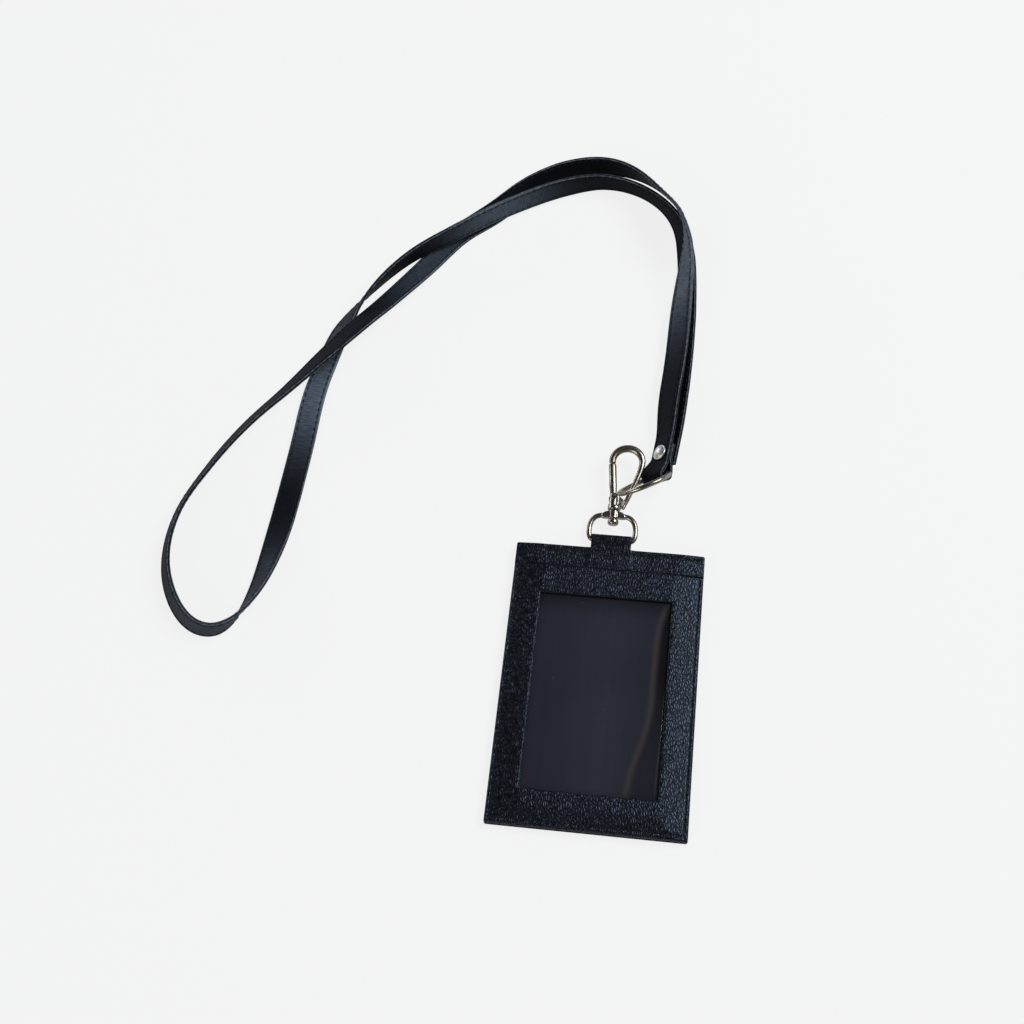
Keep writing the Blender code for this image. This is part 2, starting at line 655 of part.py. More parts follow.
def strap_end_tail(stack):
    """The strap's other end, flat under the loop's lower ply and set a little to one side."""
    low = (TAIL_SHIFT - STRAP_WIDTH / 2, TAIL_START - RIVET_PLACE, TAIL_HEIGHT - STRAP_THICK / 2)
    high = (TAIL_SHIFT + STRAP_WIDTH / 2, LOOP_LENGTH - RIVET_PLACE, TAIL_HEIGHT + STRAP_THICK / 2)
    made = put(box("strap_end_tail", low, high), "id_holder", stack, leather())
    boolean(made, rivet_hole(stack))


def rivet_hole(stack):
    """Hole for the rivet's stem through all the plies."""
    name = "rivet_hole"
    if name in bpy.data.objects:
        return bpy.data.objects[name]
    depth = 4 * PLY_STEP
    return cutter(cylinder(name, RIVET_STEM_RADIUS + TOUCH_GAP, -depth, depth, sides=20), stack)


def rivet_post(stack):
    """Back cap and stem of the rivet."""
    under = TAIL_HEIGHT - STRAP_THICK / 2 - TOUCH_GAP
    made = cylinder("rivet_post", RIVET_CAP_RADIUS * RIVET_TAPER_SHARE, under - RIVET_BACK_HEIGHT, under,
                    top_radius=RIVET_CAP_RADIUS)
    put(made, "id_holder", stack, metal())
    top = CAP_SEAT + RIVET_CAP_HEIGHT / 2
    stem = cylinder("rivet_stem", RIVET_STEM_RADIUS, under - RIVET_BACK_HEIGHT / 2, top, sides=20)
    boolean(made, cutter(stem, stack), "UNION")


def rivet_cap(stack):
    """Domed front cap, closed over the stem."""
    rim = RIVET_CAP_HEIGHT * RIVET_RIM_SHARE
    made = cylinder("rivet_cap", RIVET_CAP_RADIUS, CAP_SEAT, CAP_SEAT + rim, sides=36)
    put(made, "id_holder", stack, metal())
    build = bmesh.new()
    bmesh.ops.create_uvsphere(build, u_segments=36, v_segments=16, radius=RIVET_CAP_RADIUS)
    bmesh.ops.bisect_plane(build, geom=build.verts[:] + build.edges[:] + build.faces[:],
                           plane_co=(0, 0, 0), plane_no=(0, 0, 1), clear_inner=True)
    bmesh.ops.contextual_create(build, geom=[edge for edge in build.edges if edge.is_boundary])
    dome = object_from("rivet_dome", build)
    dome.scale.z = (RIVET_CAP_HEIGHT - rim / 2) / RIVET_CAP_RADIUS
    dome.location.z = CAP_SEAT + rim / 2
    boolean(made, cutter(dome, stack), "UNION")
    top = CAP_SEAT + RIVET_CAP_HEIGHT / 2 + TOUCH_GAP
    hole = cylinder("stem_hole", RIVET_STEM_RADIUS + TOUCH_GAP / 2, -CAP_SEAT, top, sides=20)
    boolean(made, cutter(hole, stack))


def strap_route(stack):
    """The free strap's route with its two ends, which meet the loop and the tail face to face."""
    place = stack.matrix_local
    along = place.to_3x3() @ Vector((0.0, 1.0, 0.0))
    reach = LOOP_LENGTH - RIVET_PLACE + TOUCH_GAP
    start = place @ Vector((0.0, reach, PLY_STEP / 2))
    stop = place @ Vector((TAIL_SHIFT, reach, TAIL_HEIGHT))
    lead = along * STRAP_LEAD
    tilt = math.degrees(STACK_TILT)
    return (
        [(*start, -tilt), (*(start + lead), -tilt)] + list(STRAP_ROUTE)
        + [(*(stop + lead), tilt), (*stop, tilt)]
    )


def even_points(rows, count, lead):
    """Points an even distance apart on the smooth curve through the rows, with one by each end."""
    fine = smooth_path(rows, 24)
    steps = np.linalg.norm(np.diff(fine[:, :3], axis=0), axis=1)
    travelled = np.concatenate([[0.0], np.cumsum(steps)])
    wanted = np.linspace(0.0, travelled[-1], count - 2)
    wanted = np.concatenate([[0.0, lead], wanted[1:-1], [wanted[-1] - lead, wanted[-1]]])
    return np.stack([np.interp(wanted, travelled, column) for column in fine.T], axis=1)


def lanyard_strap(stack):
    """Free neck strap: a flat ribbon that turns on its edge round the bends."""
    rows = even_points(strap_route(stack), STRAP_POINTS, STRAP_LEAD)
    curve = bpy.data.curves.new("lanyard_strap", "CURVE")
    curve.dimensions = "3D"
    curve.twist_mode = "Z_UP"
    curve.bevel_depth = STRAP_THICK / 2
    curve.extrude = (STRAP_WIDTH - STRAP_THICK) / 2
    curve.bevel_resolution = 1
    curve.use_fill_caps = True
    spline = curve.splines.new("POLY")
    spline.points.add(len(rows) - 1)
    for point, row in zip(spline.points, rows):
        point.co = (*row[:3], 1.0)
        point.tilt = math.radians(row[3] + 90)
    put(bake(bpy.data.objects.new("lanyard_strap", curve)), "id_holder", kind=leather())


def main():
    for obj in list(bpy.data.objects):
        bpy.data.objects.remove(obj)
    for name in ("id_holder", "cutters", "frames"):
        group = bpy.data.collections.new(name)
        bpy.context.scene.collection.children.link(group)
    back_panel()
    pocket_sheet("stiffener_board", BOARD_Z, BOARD_THICK, material("board", (0.25, 0.2, 0.15), 0.8))
    pocket_sheet("inner_lining", LINING_Z, LINING_THICK, material("lining", (0.015, 0.015, 0.018), 0.7))
    edge_welt()
    window_film()
    front_panel()
    top_band()
    hang_tab()
    pitch = Matrix.Translation((0.0, BAR_Y, TAB_Z)) @ Matrix.Rotation(CLASP_PITCH, 4, "X")
    clasp = empty("clasp_frame", matrix=pitch)
    swivel_eye(clasp)
    swivel_post(clasp)
    hook_body(clasp)
    pivot = empty("gate_pivot", clasp, Matrix.Translation((PIVOT_X, PIVOT_Y, 0.0)))
    hook_gate(pivot)
    gate_pin(pivot)
    gate_spring(pivot)
    ring = ring_frame(clasp)
    strap_ring(ring)
    stack = stack_frame(ring)
    strap_end_loop(ring, stack)
    strap_end_tail(stack)
    rivet_post(stack)
    rivet_cap(stack)
    lanyard_strap(stack)


main()
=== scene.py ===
"""Looks of a leather badge holder with a swivel hook, a ring and a looped neck strap.

Metres, in the model's frame: the holder lies on its back on z = 0, its clear window faces +Z
and +Y points to the hook and the strap.
"""

from contextlib import contextmanager
import json
import math

import bmesh
import bpy
import numpy as np
from mathutils import Matrix, Vector, noise

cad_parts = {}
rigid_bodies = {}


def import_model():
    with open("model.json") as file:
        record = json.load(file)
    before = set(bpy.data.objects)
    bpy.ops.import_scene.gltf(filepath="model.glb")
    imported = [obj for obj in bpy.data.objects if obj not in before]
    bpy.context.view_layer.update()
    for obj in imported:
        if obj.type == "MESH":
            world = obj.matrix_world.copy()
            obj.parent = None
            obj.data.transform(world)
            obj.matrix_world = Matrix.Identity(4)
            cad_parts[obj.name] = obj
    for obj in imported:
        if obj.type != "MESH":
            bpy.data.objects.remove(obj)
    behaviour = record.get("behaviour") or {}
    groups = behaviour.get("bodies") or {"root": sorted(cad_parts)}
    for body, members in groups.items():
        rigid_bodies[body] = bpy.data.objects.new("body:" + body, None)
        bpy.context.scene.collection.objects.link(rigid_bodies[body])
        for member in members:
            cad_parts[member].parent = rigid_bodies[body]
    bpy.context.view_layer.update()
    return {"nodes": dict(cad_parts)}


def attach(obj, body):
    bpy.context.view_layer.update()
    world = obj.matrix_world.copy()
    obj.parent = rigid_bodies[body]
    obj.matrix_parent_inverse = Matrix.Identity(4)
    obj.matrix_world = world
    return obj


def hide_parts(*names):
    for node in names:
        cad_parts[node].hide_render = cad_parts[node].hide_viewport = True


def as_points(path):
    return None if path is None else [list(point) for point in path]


for start_object in list(bpy.data.objects):
    bpy.data.objects.remove(start_object)
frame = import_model()

MM = 0.001

# Camera, fitted to the holder's corners in a frame of 1024 x 1024
CAMERA_PLACE = (0.0163, -0.1633, 0.5078)
CAMERA_TURN = (25.21, 3.47, 6.53)
CAMERA_LENS = 48.34

# Holder
HALF_WIDTH = 37.5 * MM
HALF_HEIGHT = 56.5 * MM
CORNER_RADIUS = 0.8 * MM
SIDE_FALL = 1.45 * MM
SIDE_FALL_REACH = 12.0 * MM
TURNED_EDGE = 1.0 * MM
BACK_TOP = 1.1 * MM
WELT_INSET = 0.2 * MM
WELT_WIDTH = 6.0 * MM
FRONT_LOW = 4.0 * MM
FRONT_TOP = 5.1 * MM
MOUTH_Y = 47.50 * MM
BAND_Y = 47.42 * MM
BAND_TOP = 4.4 * MM
WINDOW_LOW = (-25.7 * MM, -42.8 * MM)
WINDOW_HIGH = (25.7 * MM, 35.4 * MM)
FILM_LOW = (-29.7 * MM, -48.7 * MM)
FILM_HIGH = (29.7 * MM, 39.4 * MM)
FILM_TOP = 3.8 * MM
FILM_THICK = 0.3 * MM
EDGE_ROUND = 0.42 * MM
EDGE_STEPS = (0.03, 0.08, 0.16, 0.26, 0.38, 0.52, 0.68, 0.85, 1.05)
WINDOW_STEPS = (0.0, 0.05, 0.12, 0.2, 0.32, 0.6, 1.0, 1.5)

# Stitching on the holder
STITCH_PITCH = 3.0 * MM
ROW_LEFT = -36.0 * MM
ROW_RIGHT = 35.9 * MM
ROW_LOW = -54.6 * MM
ROW_HIGH = 54.8 * MM
GROOVE_DEPTH = 0.16 * MM
GROOVE_WIDTH = 0.42 * MM
HOLE_DEPTH = 0.22 * MM
HOLE_WIDTH = 0.30 * MM

# Hang tab round the eye's bar
TAB_HALF_WIDTH = 8.0 * MM
TAB_THICK = 0.9 * MM
TAB_ROOT = 48.9 * MM
TAB_FLARE = 2.6 * MM
TAB_BEND = 1.8 * MM
BAR_PLACE = (0.0, 60.85 * MM, 2.3 * MM)
CLASP_PITCH = math.radians(7.1)

# Clasp, in its own plane: x across, y away from the holder
EYE_WIRE = 2.1 * MM
EYE_HALF_WIDTH = 9.3 * MM
EYE_HEIGHT = 10.8 * MM
SOCKET_LOW = 9.1 * MM
SOCKET_HIGH = 12.5 * MM
BARREL_RADIUS = 2.1 * MM
WING_HALF_THICK = 1.5 * MM
COLLAR_Y = 12.8 * MM
COLLAR_RADIUS = 2.6 * MM
BASE_Y = 14.4 * MM
HOOK_FOOT = 13.6 * MM
HOOK_WIDTH = 12.2 * MM
HOOK_LENGTH = 26.2 * MM
HOOK_WIRE = 3.1 * MM
HOOK_FLATNESS = 0.9
PIVOT = (-0.6 * MM, 17.5 * MM)
CHEEK_RADIUS = 2.4 * MM
CHEEK_TOP = 20.1 * MM
WEB_HALF_THICK = 1.35 * MM
SLOT_HALF = 1.5 * MM
HUB_REACH = 2.2 * MM
POST_RADIUS = 1.35 * MM
POST_HEAD_RADIUS = 2.2 * MM
PIN_RADIUS = 0.6 * MM
PIN_END = 2.45 * MM
CAST_VOXEL = 0.10 * MM
HUB_END = 19.8 * MM
GATE_TIP = 33.0 * MM
BAR_GROWTH = 0.22 * MM

# Wire of the eye, half of it from the middle of its bar, and of the hook from foot to tip, in shares
EYE_SHARES = (
    (0.0, 0.0), (0.40, 0.0), (0.78, 0.0), (0.86, 0.020), (0.925, 0.068), (0.970, 0.145),
    (0.995, 0.25), (1.0, 0.38), (0.975, 0.58), (0.89, 0.77), (0.73, 0.905), (0.45, 0.975),
)
HOOK_SHARES = (
    (0.260, 0.000), (0.330, 0.080), (0.430, 0.195), (0.560, 0.360), (0.690, 0.530),
    (0.785, 0.705), (0.797, 0.820), (0.705, 0.915), (0.505, 0.985), (0.275, 1.000),
    (0.060, 0.970), (-0.100, 0.905), (-0.185, 0.815), (-0.190, 0.745),
)
HOOK_WIRE_SHARES = (0.60, 0.62, 0.64, 0.68, 0.74, 0.80, 0.86, 0.94, 0.99, 1.0, 0.98, 0.94, 0.90, 0.87)

# Outline of the eye's wings and of the web beside the hook's cheeks, in mm
WING_OUTLINE = (
    (-4.5, 9.3), (4.5, 9.3), (4.9, 9.7), (4.8, 10.9), (3.6, 11.8), (2.2, 12.3), (-2.2, 12.3),
    (-3.6, 11.8), (-4.8, 10.9), (-4.9, 9.7),
)
WEB_OUTLINE = ((-0.5, 14.3), (3.2, 14.3), (3.6, 15.6), (3.9, 17.0), (2.8, 17.9), (1.1, 19.2), (-0.5, 19.4))

# Ring
RING_RADIUS = 10.65 * MM
RING_WIRE = 2.0 * MM
RING_PLACE = (11.35 * MM, 82.56 * MM, 12.15 * MM)
RING_HEADING = math.radians(30.0)
RING_LEAN = math.radians(29.7)
LOOP_PLACE = math.radians(45.5)
LOOP_SPREAD = 1.28

# Strap
STRAP_WIDTH = 10.0 * MM
STRAP_THICK = 1.4 * MM
STRAP_ROW = 3.75 * MM
STRAP_PITCH = 3.2 * MM
STRAP_EASE = 4.0 * MM
STRAP_TWIST_EASE = 9.0 * MM
TOUCH_GAP = 0.3 * MM
LOOP_LENGTH = 16.0 * MM
LOOP_BACK_LENGTH = 15.0 * MM
LOOP_CLOSES_AT = 9.0 * MM
LOOP_LEAD = math.radians(13.0)
LOOP_BEND = RING_WIRE / 2 + 0.45 * MM + STRAP_THICK / 2
TAIL_START = 6.6 * MM
TAIL_SHIFT = 0.8 * MM
TAIL_MAP_START = 0.9
RIVET_PLACE = 11.0 * MM
RIVET_RADIUS = 3.3 * MM
STACK_PLACE = (17.856 * MM, 99.677 * MM, 5.773 * MM)
STACK_HEADING = math.radians(7.0)
STACK_CLIMB = math.radians(3.5)
STACK_TILT = math.radians(48.0)
PLY_STEP = STRAP_THICK + TOUCH_GAP
TAIL_HEIGHT = -PLY_STEP * 3 / 2
CAP_SEAT = PLY_STEP / 2 + STRAP_THICK / 2 + TOUCH_GAP

# Free strap's route: middle of the strap in metres, and its tilt in degrees
STRAP_ROUTE = (
    (0.0185, 0.1245, 0.0072, -36), (0.0200, 0.1435, 0.0066, -32), (0.0210, 0.1745, 0.0076, -34),
    (0.0215, 0.1868, 0.0113, -54), (0.0210, 0.2038, 0.0140, -78), (0.0195, 0.2088, 0.0166, -106),
    (0.0101, 0.2259, 0.0131, -120), (-0.0068, 0.2412, 0.0086, -96), (-0.0205, 0.2460, 0.0052, -77),
    (-0.0360, 0.2420, 0.0053, -75), (-0.0515, 0.2320, 0.0049, -56), (-0.0665, 0.2175, 0.0030, -26),
    (-0.0790, 0.2080, 0.0013, -3), (-0.0930, 0.1880, 0.0015, 6), (-0.1104, 0.1609, 0.0059, 20),
    (-0.1173, 0.1482, 0.0108, 20), (-0.1286, 0.1358, 0.0081, 29), (-0.1451, 0.1156, 0.0056, 45),
    (-0.1550, 0.1040, 0.0047, 48), (-0.1705, 0.0775, 0.0047, 54), (-0.1785, 0.0570, 0.0049, 59),
    (-0.1790, 0.0360, 0.0049, 61), (-0.1760, 0.0260, 0.0049, 60), (-0.1715, 0.0180, 0.0049, 60),
    (-0.1670, 0.0125, 0.0050, 62), (-0.1615, 0.0085, 0.0051, 67), (-0.1515, 0.0075, 0.0052, 84),
    (-0.1475, 0.0105, 0.0052, 102), (-0.1395, 0.0265, 0.0043, 135), (-0.1375, 0.0365, 0.0034, 150),
    (-0.1360, 0.0505, 0.0018, 172), (-0.1335, 0.0895, 0.0011, 180), (-0.1313, 0.1252, 0.0021, 172),
    (-0.1287, 0.1365, 0.0028, 163), (-0.1260, 0.1471, 0.0042, 165), (-0.1221, 0.1591, 0.0040, 129),
    (-0.1165, 0.1685, 0.0054, 110), (-0.1015, 0.1870, 0.0072, 98), (-0.0800, 0.2028, 0.0086, 84),
    (-0.0570, 0.2200, 0.0070, 80), (-0.0330, 0.2332, 0.0056, 79), (-0.0195, 0.2365, 0.0058, 90),
    (-0.0020, 0.2329, 0.0060, 97), (0.0125, 0.2223, 0.0056, 90), (0.0180, 0.2127, 0.0055, 71),
    (0.0205, 0.2031, 0.0053, 52), (0.0230, 0.1761, 0.0046, 41), (0.0230, 0.1460, 0.0034, 34),
    (0.0222, 0.1260, 0.0042, 35),
)
STRAP_LEAD = 1.5 * MM

# Stretches of the free strap with a clear coat and a painted sheen, a lighter blue base colour: middle and
# half length in metres, and how much
SHEEN_PAINTED_STRETCHES = ((0.088, 0.030, 0.8), (0.262, 0.026, 0.4), (0.480, 0.026, 0.3), (0.516, 0.020, 0.15),
            (0.602, 0.026, 1.0), (0.726, 0.024, 0.6))

# Edge of a band, from the seam between its two layers up: inset in mm, height share, paint; the paint is
# highest at the rounded corners, where it is partly a painted glint
BAND_EDGE = ((0.24, 0.0, 0.0), (0.07, 0.20, 0.10), (0.0, 0.46, 0.12), (0.04, 0.72, 0.75), (0.20, 0.94, 0.75))

# Ridges in the film, in mm: crest as (y, x) from its lower end up, height, half width
FILM_RIDGES = (
    (((-43.0, 13.4), (-32.0, 15.0), (-20.0, 18.4), (-8.0, 20.4), (6.9, 20.6), (29.0, 22.3), (35.0, 24.0)),
     0.10, 1.9),
    (((-40.0, 24.3), (-28.0, 24.6), (-13.9, 25.1), (0.0, 25.3)), 0.08, 0.45),
)

# Leather: pebbles to a metre, depth of the grain, roughness of creases and pebbles, specular level
HOLDER_GRAIN = ((1080.0, 560.0, 1080.0), 0.000078, (0.48, 0.36), 0.57)
STRAP_GRAIN = ((1250.0, 1700.0, 1250.0), 0.000022, (0.70, 0.58), 0.15)
# Grain colours; the creases' black is partly the leather's tone and partly painted shade
CREASE_SHADE_BLACK = (0.0010, 0.0008, 0.0012)
PEBBLE_BLACK = (0.0066, 0.0050, 0.0076)
# Lighter blue base colour of the strap's painted sheen
PAINTED_SHEEN_BLUE = (0.130, 0.162, 0.214)
EDGE_GREYS = ((0.060, 0.068, 0.082), (0.230, 0.250, 0.280))
SKY_TINT = (0.60, 0.74, 1.0, 1.0)

# The strap's two faces lie apart in its map, so that their grain differs
MAP_SHIFT = 0.02

# Gentle unevenness of the leather and of the film: waves to a metre and height
LEATHER_ROLL = (95.0, 0.10 * MM)
FILM_ROLL = (42.0, 0.09 * MM)

# Lip pressed down round the window, the round of its cut edge, and the film's bow across it
LIP_DEPTH, LIP_REACH = 0.16 * MM, 1.6 * MM
WINDOW_ROUND = 0.45 * MM
FILM_BOW, FILM_BOW_HALF = 0.10 * MM, 26.0 * MM

# Band over the mouth: its fall to both sides, and its rise over the tab
BAND_FALL, BAND_FALL_REACH = 0.65 * MM, 9.0 * MM
TAB_RISE = 0.22 * MM

# Slow sway of a band's middle and fine ripple of its faces: size and steps to a metre
BAND_SWAY = (0.05 * MM, 140.0)
BAND_RIPPLE = (0.035 * MM, 420.0)

# Stitches: sizes of a thread, and how far it lies under the leather's face
THREAD_WIDTH = 0.46 * MM
THREAD_HEIGHT = 0.40 * MM
HOLDER_STITCH = 2.5 * MM
STRAP_STITCH = 2.55 * MM
THREAD_SUNK = 0.10 * MM
BACK_THREAD_Z = 0.18 * MM

# Gate's spring
COIL_RADIUS = 1.1 * MM
COIL_WIRE = 0.3 * MM
COIL_LOW = -0.1 * MM
COIL_RISE = 0.5 * MM
COIL_TURNS = 2
COIL_STEPS = 36

# Floor, a hair below the object, and lamps: place, aim, size, watts and colour
FLOOR_REACH = 4.0
FLOOR_Z = -0.15 * MM
LAMPS = {
    "window_light": ((1.20, 0.65, 1.50), (0.0, 0.05, 0.0), (1.05, 0.95), 34.0, (0.90, 0.95, 1.0)),
    "low_light": ((-1.80, 1.15, 0.42), (-0.05, 0.12, 0.0), (1.5, 0.5), 11.0, (0.88, 0.94, 1.0)),
    "fill_light": ((-1.1, -1.5, 0.9), (0.0, 0.05, 0.0), (1.2, 1.0), 14.0, (1.0, 0.98, 0.95)),
}


class Expression:
    """A socket of a node tree; arithmetic on it adds Math nodes."""

    def __init__(self, tree, socket):
        self.tree = tree
        self.socket = socket

    def math(self, operation, *others, clamp=False):
        settings = {"operation": operation, "use_clamp": clamp}
        return self.tree.node("ShaderNodeMath", settings, dict(enumerate((self, *others))))

    def __add__(self, other):
        return self.math("ADD", other)

    def __sub__(self, other):
        return self.math("SUBTRACT", other)

    def __rsub__(self, other):
        return self.tree.node("ShaderNodeMath", {"operation": "SUBTRACT"}, {0: other, 1: self})

    def __mul__(self, other):
        return self.math("MULTIPLY", other)

    def __truediv__(self, other):
        return self.math("DIVIDE", other)

    __radd__ = __add__
    __rmul__ = __mul__


class Tree:
    """Adds nodes to a shader or geometry tree."""

    def __init__(self, tree):
        self.tree = tree

    def node(self, kind, settings=None, values=None, out=0):
        """One node: its settings, then the values or links of its sockets; gives one output."""
        made = self.tree.nodes.new(kind)
        for name, value in (settings or {}).items():
            if name == "stops":
                self.set_stops(made.color_ramp, value)
            else:
                setattr(made, name, value)
        for name, value in (values or {}).items():
            if isinstance(value, Expression):
                self.tree.links.new(value.socket, made.inputs[name])
            else:
                made.inputs[name].default_value = value
        return Expression(self, made.outputs[out])

    @staticmethod
    def set_stops(ramp, stops):
        while len(ramp.elements) < len(stops):
            ramp.elements.new(1.0)
        for element, (place, value) in zip(ramp.elements, stops):
            element.position = place
            element.color = (*value, 1.0) if isinstance(value, tuple) else (value, value, value, 1.0)

    def mix(self, share, first, second):
        """Colour between two colours."""
        values = {0: share, 6: padded_colour(first), 7: padded_colour(second)}
        return self.node("ShaderNodeMix", {"data_type": "RGBA"}, values, out=2)

    def span(self, value, low, high, to_low=0.0, to_high=1.0):
        """Value mapped smoothly from one range to another, and kept inside it."""
        settings = {"interpolation_type": "SMOOTHSTEP"}
        return self.node("ShaderNodeMapRange", settings, {0: value, 1: low, 2: high, 3: to_low, 4: to_high})

    def vector(self, operation, first, second):
        return self.node("ShaderNodeVectorMath", {"operation": operation}, {0: first, 1: second})

    def noise(self, place, scale, detail=2.0, out="Fac"):
        return self.node("ShaderNodeTexNoise", None, {"Vector": place, "Scale": scale, "Detail": detail}, out)

    def cells(self, place, scale, out, feature="F1"):
        return self.node("ShaderNodeTexVoronoi", {"feature": feature}, {"Vector": place, "Scale": scale}, out)

    def object_place(self):
        return self.node("ShaderNodeTexCoord", None, None, "Object")

    def stretched(self, place, scale):
        """Place scaled along each axis, which draws out the texture on it."""
        return self.node("ShaderNodeMapping", None, {"Vector": place, "Scale": scale})

    def bump(self, strength, depth, height):
        return self.node("ShaderNodeBump", None, {"Strength": strength, "Distance": depth, "Height": height})

    def mark(self, name):
        """Value that the mesh's points carry."""
        return self.node("ShaderNodeAttribute", {"attribute_name": name}, None, "Fac")

    def blend_surface(self, share, first, second):
        """Makes the material's surface a mix of two shaders."""
        both = self.node("ShaderNodeMixShader", None, {0: share, 1: first, 2: second})
        self.tree.links.new(both.socket, self.tree.nodes["Material Output"].inputs["Surface"])


def padded_colour(colour):
    return (*colour, 1.0) if isinstance(colour, tuple) else colour


def finish_tree(name):
    """New material: itself, its tree and its Principled shader."""
    made = bpy.data.materials.new(name)
    made.use_nodes = True
    return made, Tree(made.node_tree), made.node_tree.nodes["Principled BSDF"]


def drive(tree, shader, **sockets):
    """Sets or links the shader's sockets; words are joined by underscores in the names here."""
    for name, value in sockets.items():
        socket = shader.inputs[name.replace("_", " ")]
        if isinstance(value, Expression):
            tree.tree.links.new(value.socket, socket)
        else:
            socket.default_value = value


def pebbled_leather(name, on_strap=False):
    """Black leather with a pebbled grain that is longer along the holder or the strap."""
    made, tree, shader = finish_tree(name)
    pebbles, depth, (dull, bright), specular = STRAP_GRAIN if on_strap else HOLDER_GRAIN
    place = tree.node("ShaderNodeUVMap", {"uv_map": "strap"}) if on_strap else tree.object_place()
    drift = tree.noise(place, 260.0, 1.0, "Color")
    drift = tree.vector("SUBTRACT", drift, (0.5, 0.5, 0.5))
    drift = tree.vector("MULTIPLY", drift, (0.0011, 0.0018, 0.0011))
    cells = tree.vector("MULTIPLY", tree.vector("ADD", place, drift), pebbles)
    crease = tree.cells(cells, 1.0, "Distance", "DISTANCE_TO_EDGE")
    cell = tree.cells(cells, 1.0, "Color")
    lift = tree.node("ShaderNodeSeparateColor", None, {0: cell})
    pebble = tree.span(crease, 0.0, 0.40)
    fine = tree.noise(place, 3600.0, 2.0)
    broad = tree.noise(place, 34.0, 2.0)
    height = pebble * (0.65 + 0.7 * lift) + 0.07 * fine + 0.8 * broad
    # Creases darker than the pebbles: partly the grain's own tone, partly painted shade.
    colour = tree.mix(pebble * 0.8 + 0.2 * fine, CREASE_SHADE_BLACK, PEBBLE_BLACK)
    rough = tree.span(pebble, 0.0, 1.0, dull, bright) + (fine - 0.5) * 0.08 + (broad - 0.5) * 0.10
    if on_strap:
        colour, rough = strap_sheen_and_edge(tree, shader, place, colour, rough)
    else:
        # Painted shade: a black matt surface blended into the holder leather's grain creases.
        painted_shade_black = tree.node("ShaderNodeBsdfDiffuse", None, {"Color": (0.0022, 0.0019, 0.0028, 1.0)})
        crease_shade = tree.span(crease, 0.01, 0.16, 0.72, 0.0)
        tree.blend_surface(crease_shade, Expression(tree, shader.outputs["BSDF"]), painted_shade_black)
    drive(tree, shader, Base_Color=colour, Roughness=rough, Normal=tree.bump(1.0, depth, height))
    drive(tree, shader, Specular_IOR_Level=specular, Specular_Tint=SKY_TINT)
    return made


def strap_sheen_and_edge(tree, shader, place, colour, rough):
    """Colour and roughness with the strap's coated stretches and their painted sheen, and its grey painted
    edge, whose grey at the rounded corners is partly a painted glint.
    """
    paint_and_glint = tree.mark("edge_paint")
    worn = tree.span(tree.noise(place, 900.0, 3.0), 0.35, 0.70)
    streaks = tree.noise(tree.stretched(place, (260.0, 1500.0, 1.0)), 1.0, 3.0)
    # shine drives a real clear coat and also the painted sheen colour below
    shine = tree.mark("polish") * tree.span(streaks, 0.30, 0.70, 0.55, 1.0)
    drive(tree, shader, Coat_Weight=shine * 0.6, Coat_Roughness=0.36)
    # Painted sheen: the coated stretches get a lighter blue base colour.
    sheen_painted_colour = tree.mix(shine, colour, PAINTED_SHEEN_BLUE)
    # The edge paint's grey, strongest at the rounded corners, is partly a painted glint.
    return tree.mix(paint_and_glint, sheen_painted_colour, tree.mix(worn, *EDGE_GREYS)), rough + paint_and_glint * 0.05


def patterned(name, pattern, dark, pale, rough, relief, **more):
    """Finish whose colour, roughness and relief all follow one pattern."""
    made, tree, shader = finish_tree(name)
    share = pattern(tree, tree.object_place())
    least, spread = rough
    drive(tree, shader, Base_Color=tree.mix(share, dark, pale), Roughness=least + spread * share)
    drive(tree, shader, Normal=tree.bump(*relief, share), **more)
    return made


def burnished_layers(tree, place):
    return tree.noise(tree.stretched(place, (300.0, 300.0, 5000.0)), 1.0, 3.0)


def twisted_strands(tree, place):
    values = {"Vector": place, "Scale": 900.0, "Distortion": 1.5, "Detail": 1.0}
    return tree.node("ShaderNodeTexWave", {"bands_direction": "DIAGONAL"}, values, "Fac")


def crossed_threads(tree, place):
    values = {"Vector": place, "Scale": 480.0}
    weft, warp = (tree.node("ShaderNodeTexWave", {"bands_direction": way}, values, "Fac") for way in "XY")
    return weft.math("MAXIMUM", warp)


def pressed_fibres(tree, place):
    return tree.noise(place, 1400.0, 4.0)


def clear_film():
    """Clear film over the black lining, faintly hazy and drawn along its length."""
    made, tree, shader = finish_tree("clear_film")
    place = tree.object_place()
    drawn = tree.stretched(place, (420.0, 14.0, 60.0))
    lines = tree.noise(drawn, 1.0, 3.0)
    haze = tree.noise(place, 38.0, 2.0)
    specks = tree.cells(place, 95.0, "Distance")
    dust = tree.span(specks, 0.010, 0.030, 1.0, 0.0)
    along = tree.node("ShaderNodeSeparateXYZ", None, {0: place}, "X")
    # Lighter band down the film's middle: a painted reflection.
    middle = tree.span((along - 0.001).math("ABSOLUTE"), 0.002, 0.019, 1.0, 0.0)
    tone = haze * 0.35 + middle * 0.28 + lines * 0.25
    colour = tree.mix(tone, (0.028, 0.028, 0.042), (0.054, 0.062, 0.086))
    colour = tree.mix(dust * 0.6, colour, (0.30, 0.32, 0.36))
    buckle = tree.mark("buckle")
    shade = tree.mark("shade")
    colour = tree.mix(shade * 0.9, colour, (0.008, 0.007, 0.008))
    # Painted sheen: the film's ridges get a lighter, warm colour on top of their real relief.
    colour = tree.mix(buckle * 0.6, colour, (0.078, 0.060, 0.053))
    normal = tree.bump(0.12, 0.00006, lines)
    drive(tree, shader, Base_Color=colour, Roughness=0.07 + 0.10 * haze, Normal=normal)
    drive(tree, shader, Alpha=0.45 + 0.1 * haze + buckle * 0.2, Specular_IOR_Level=0.62)
    return made


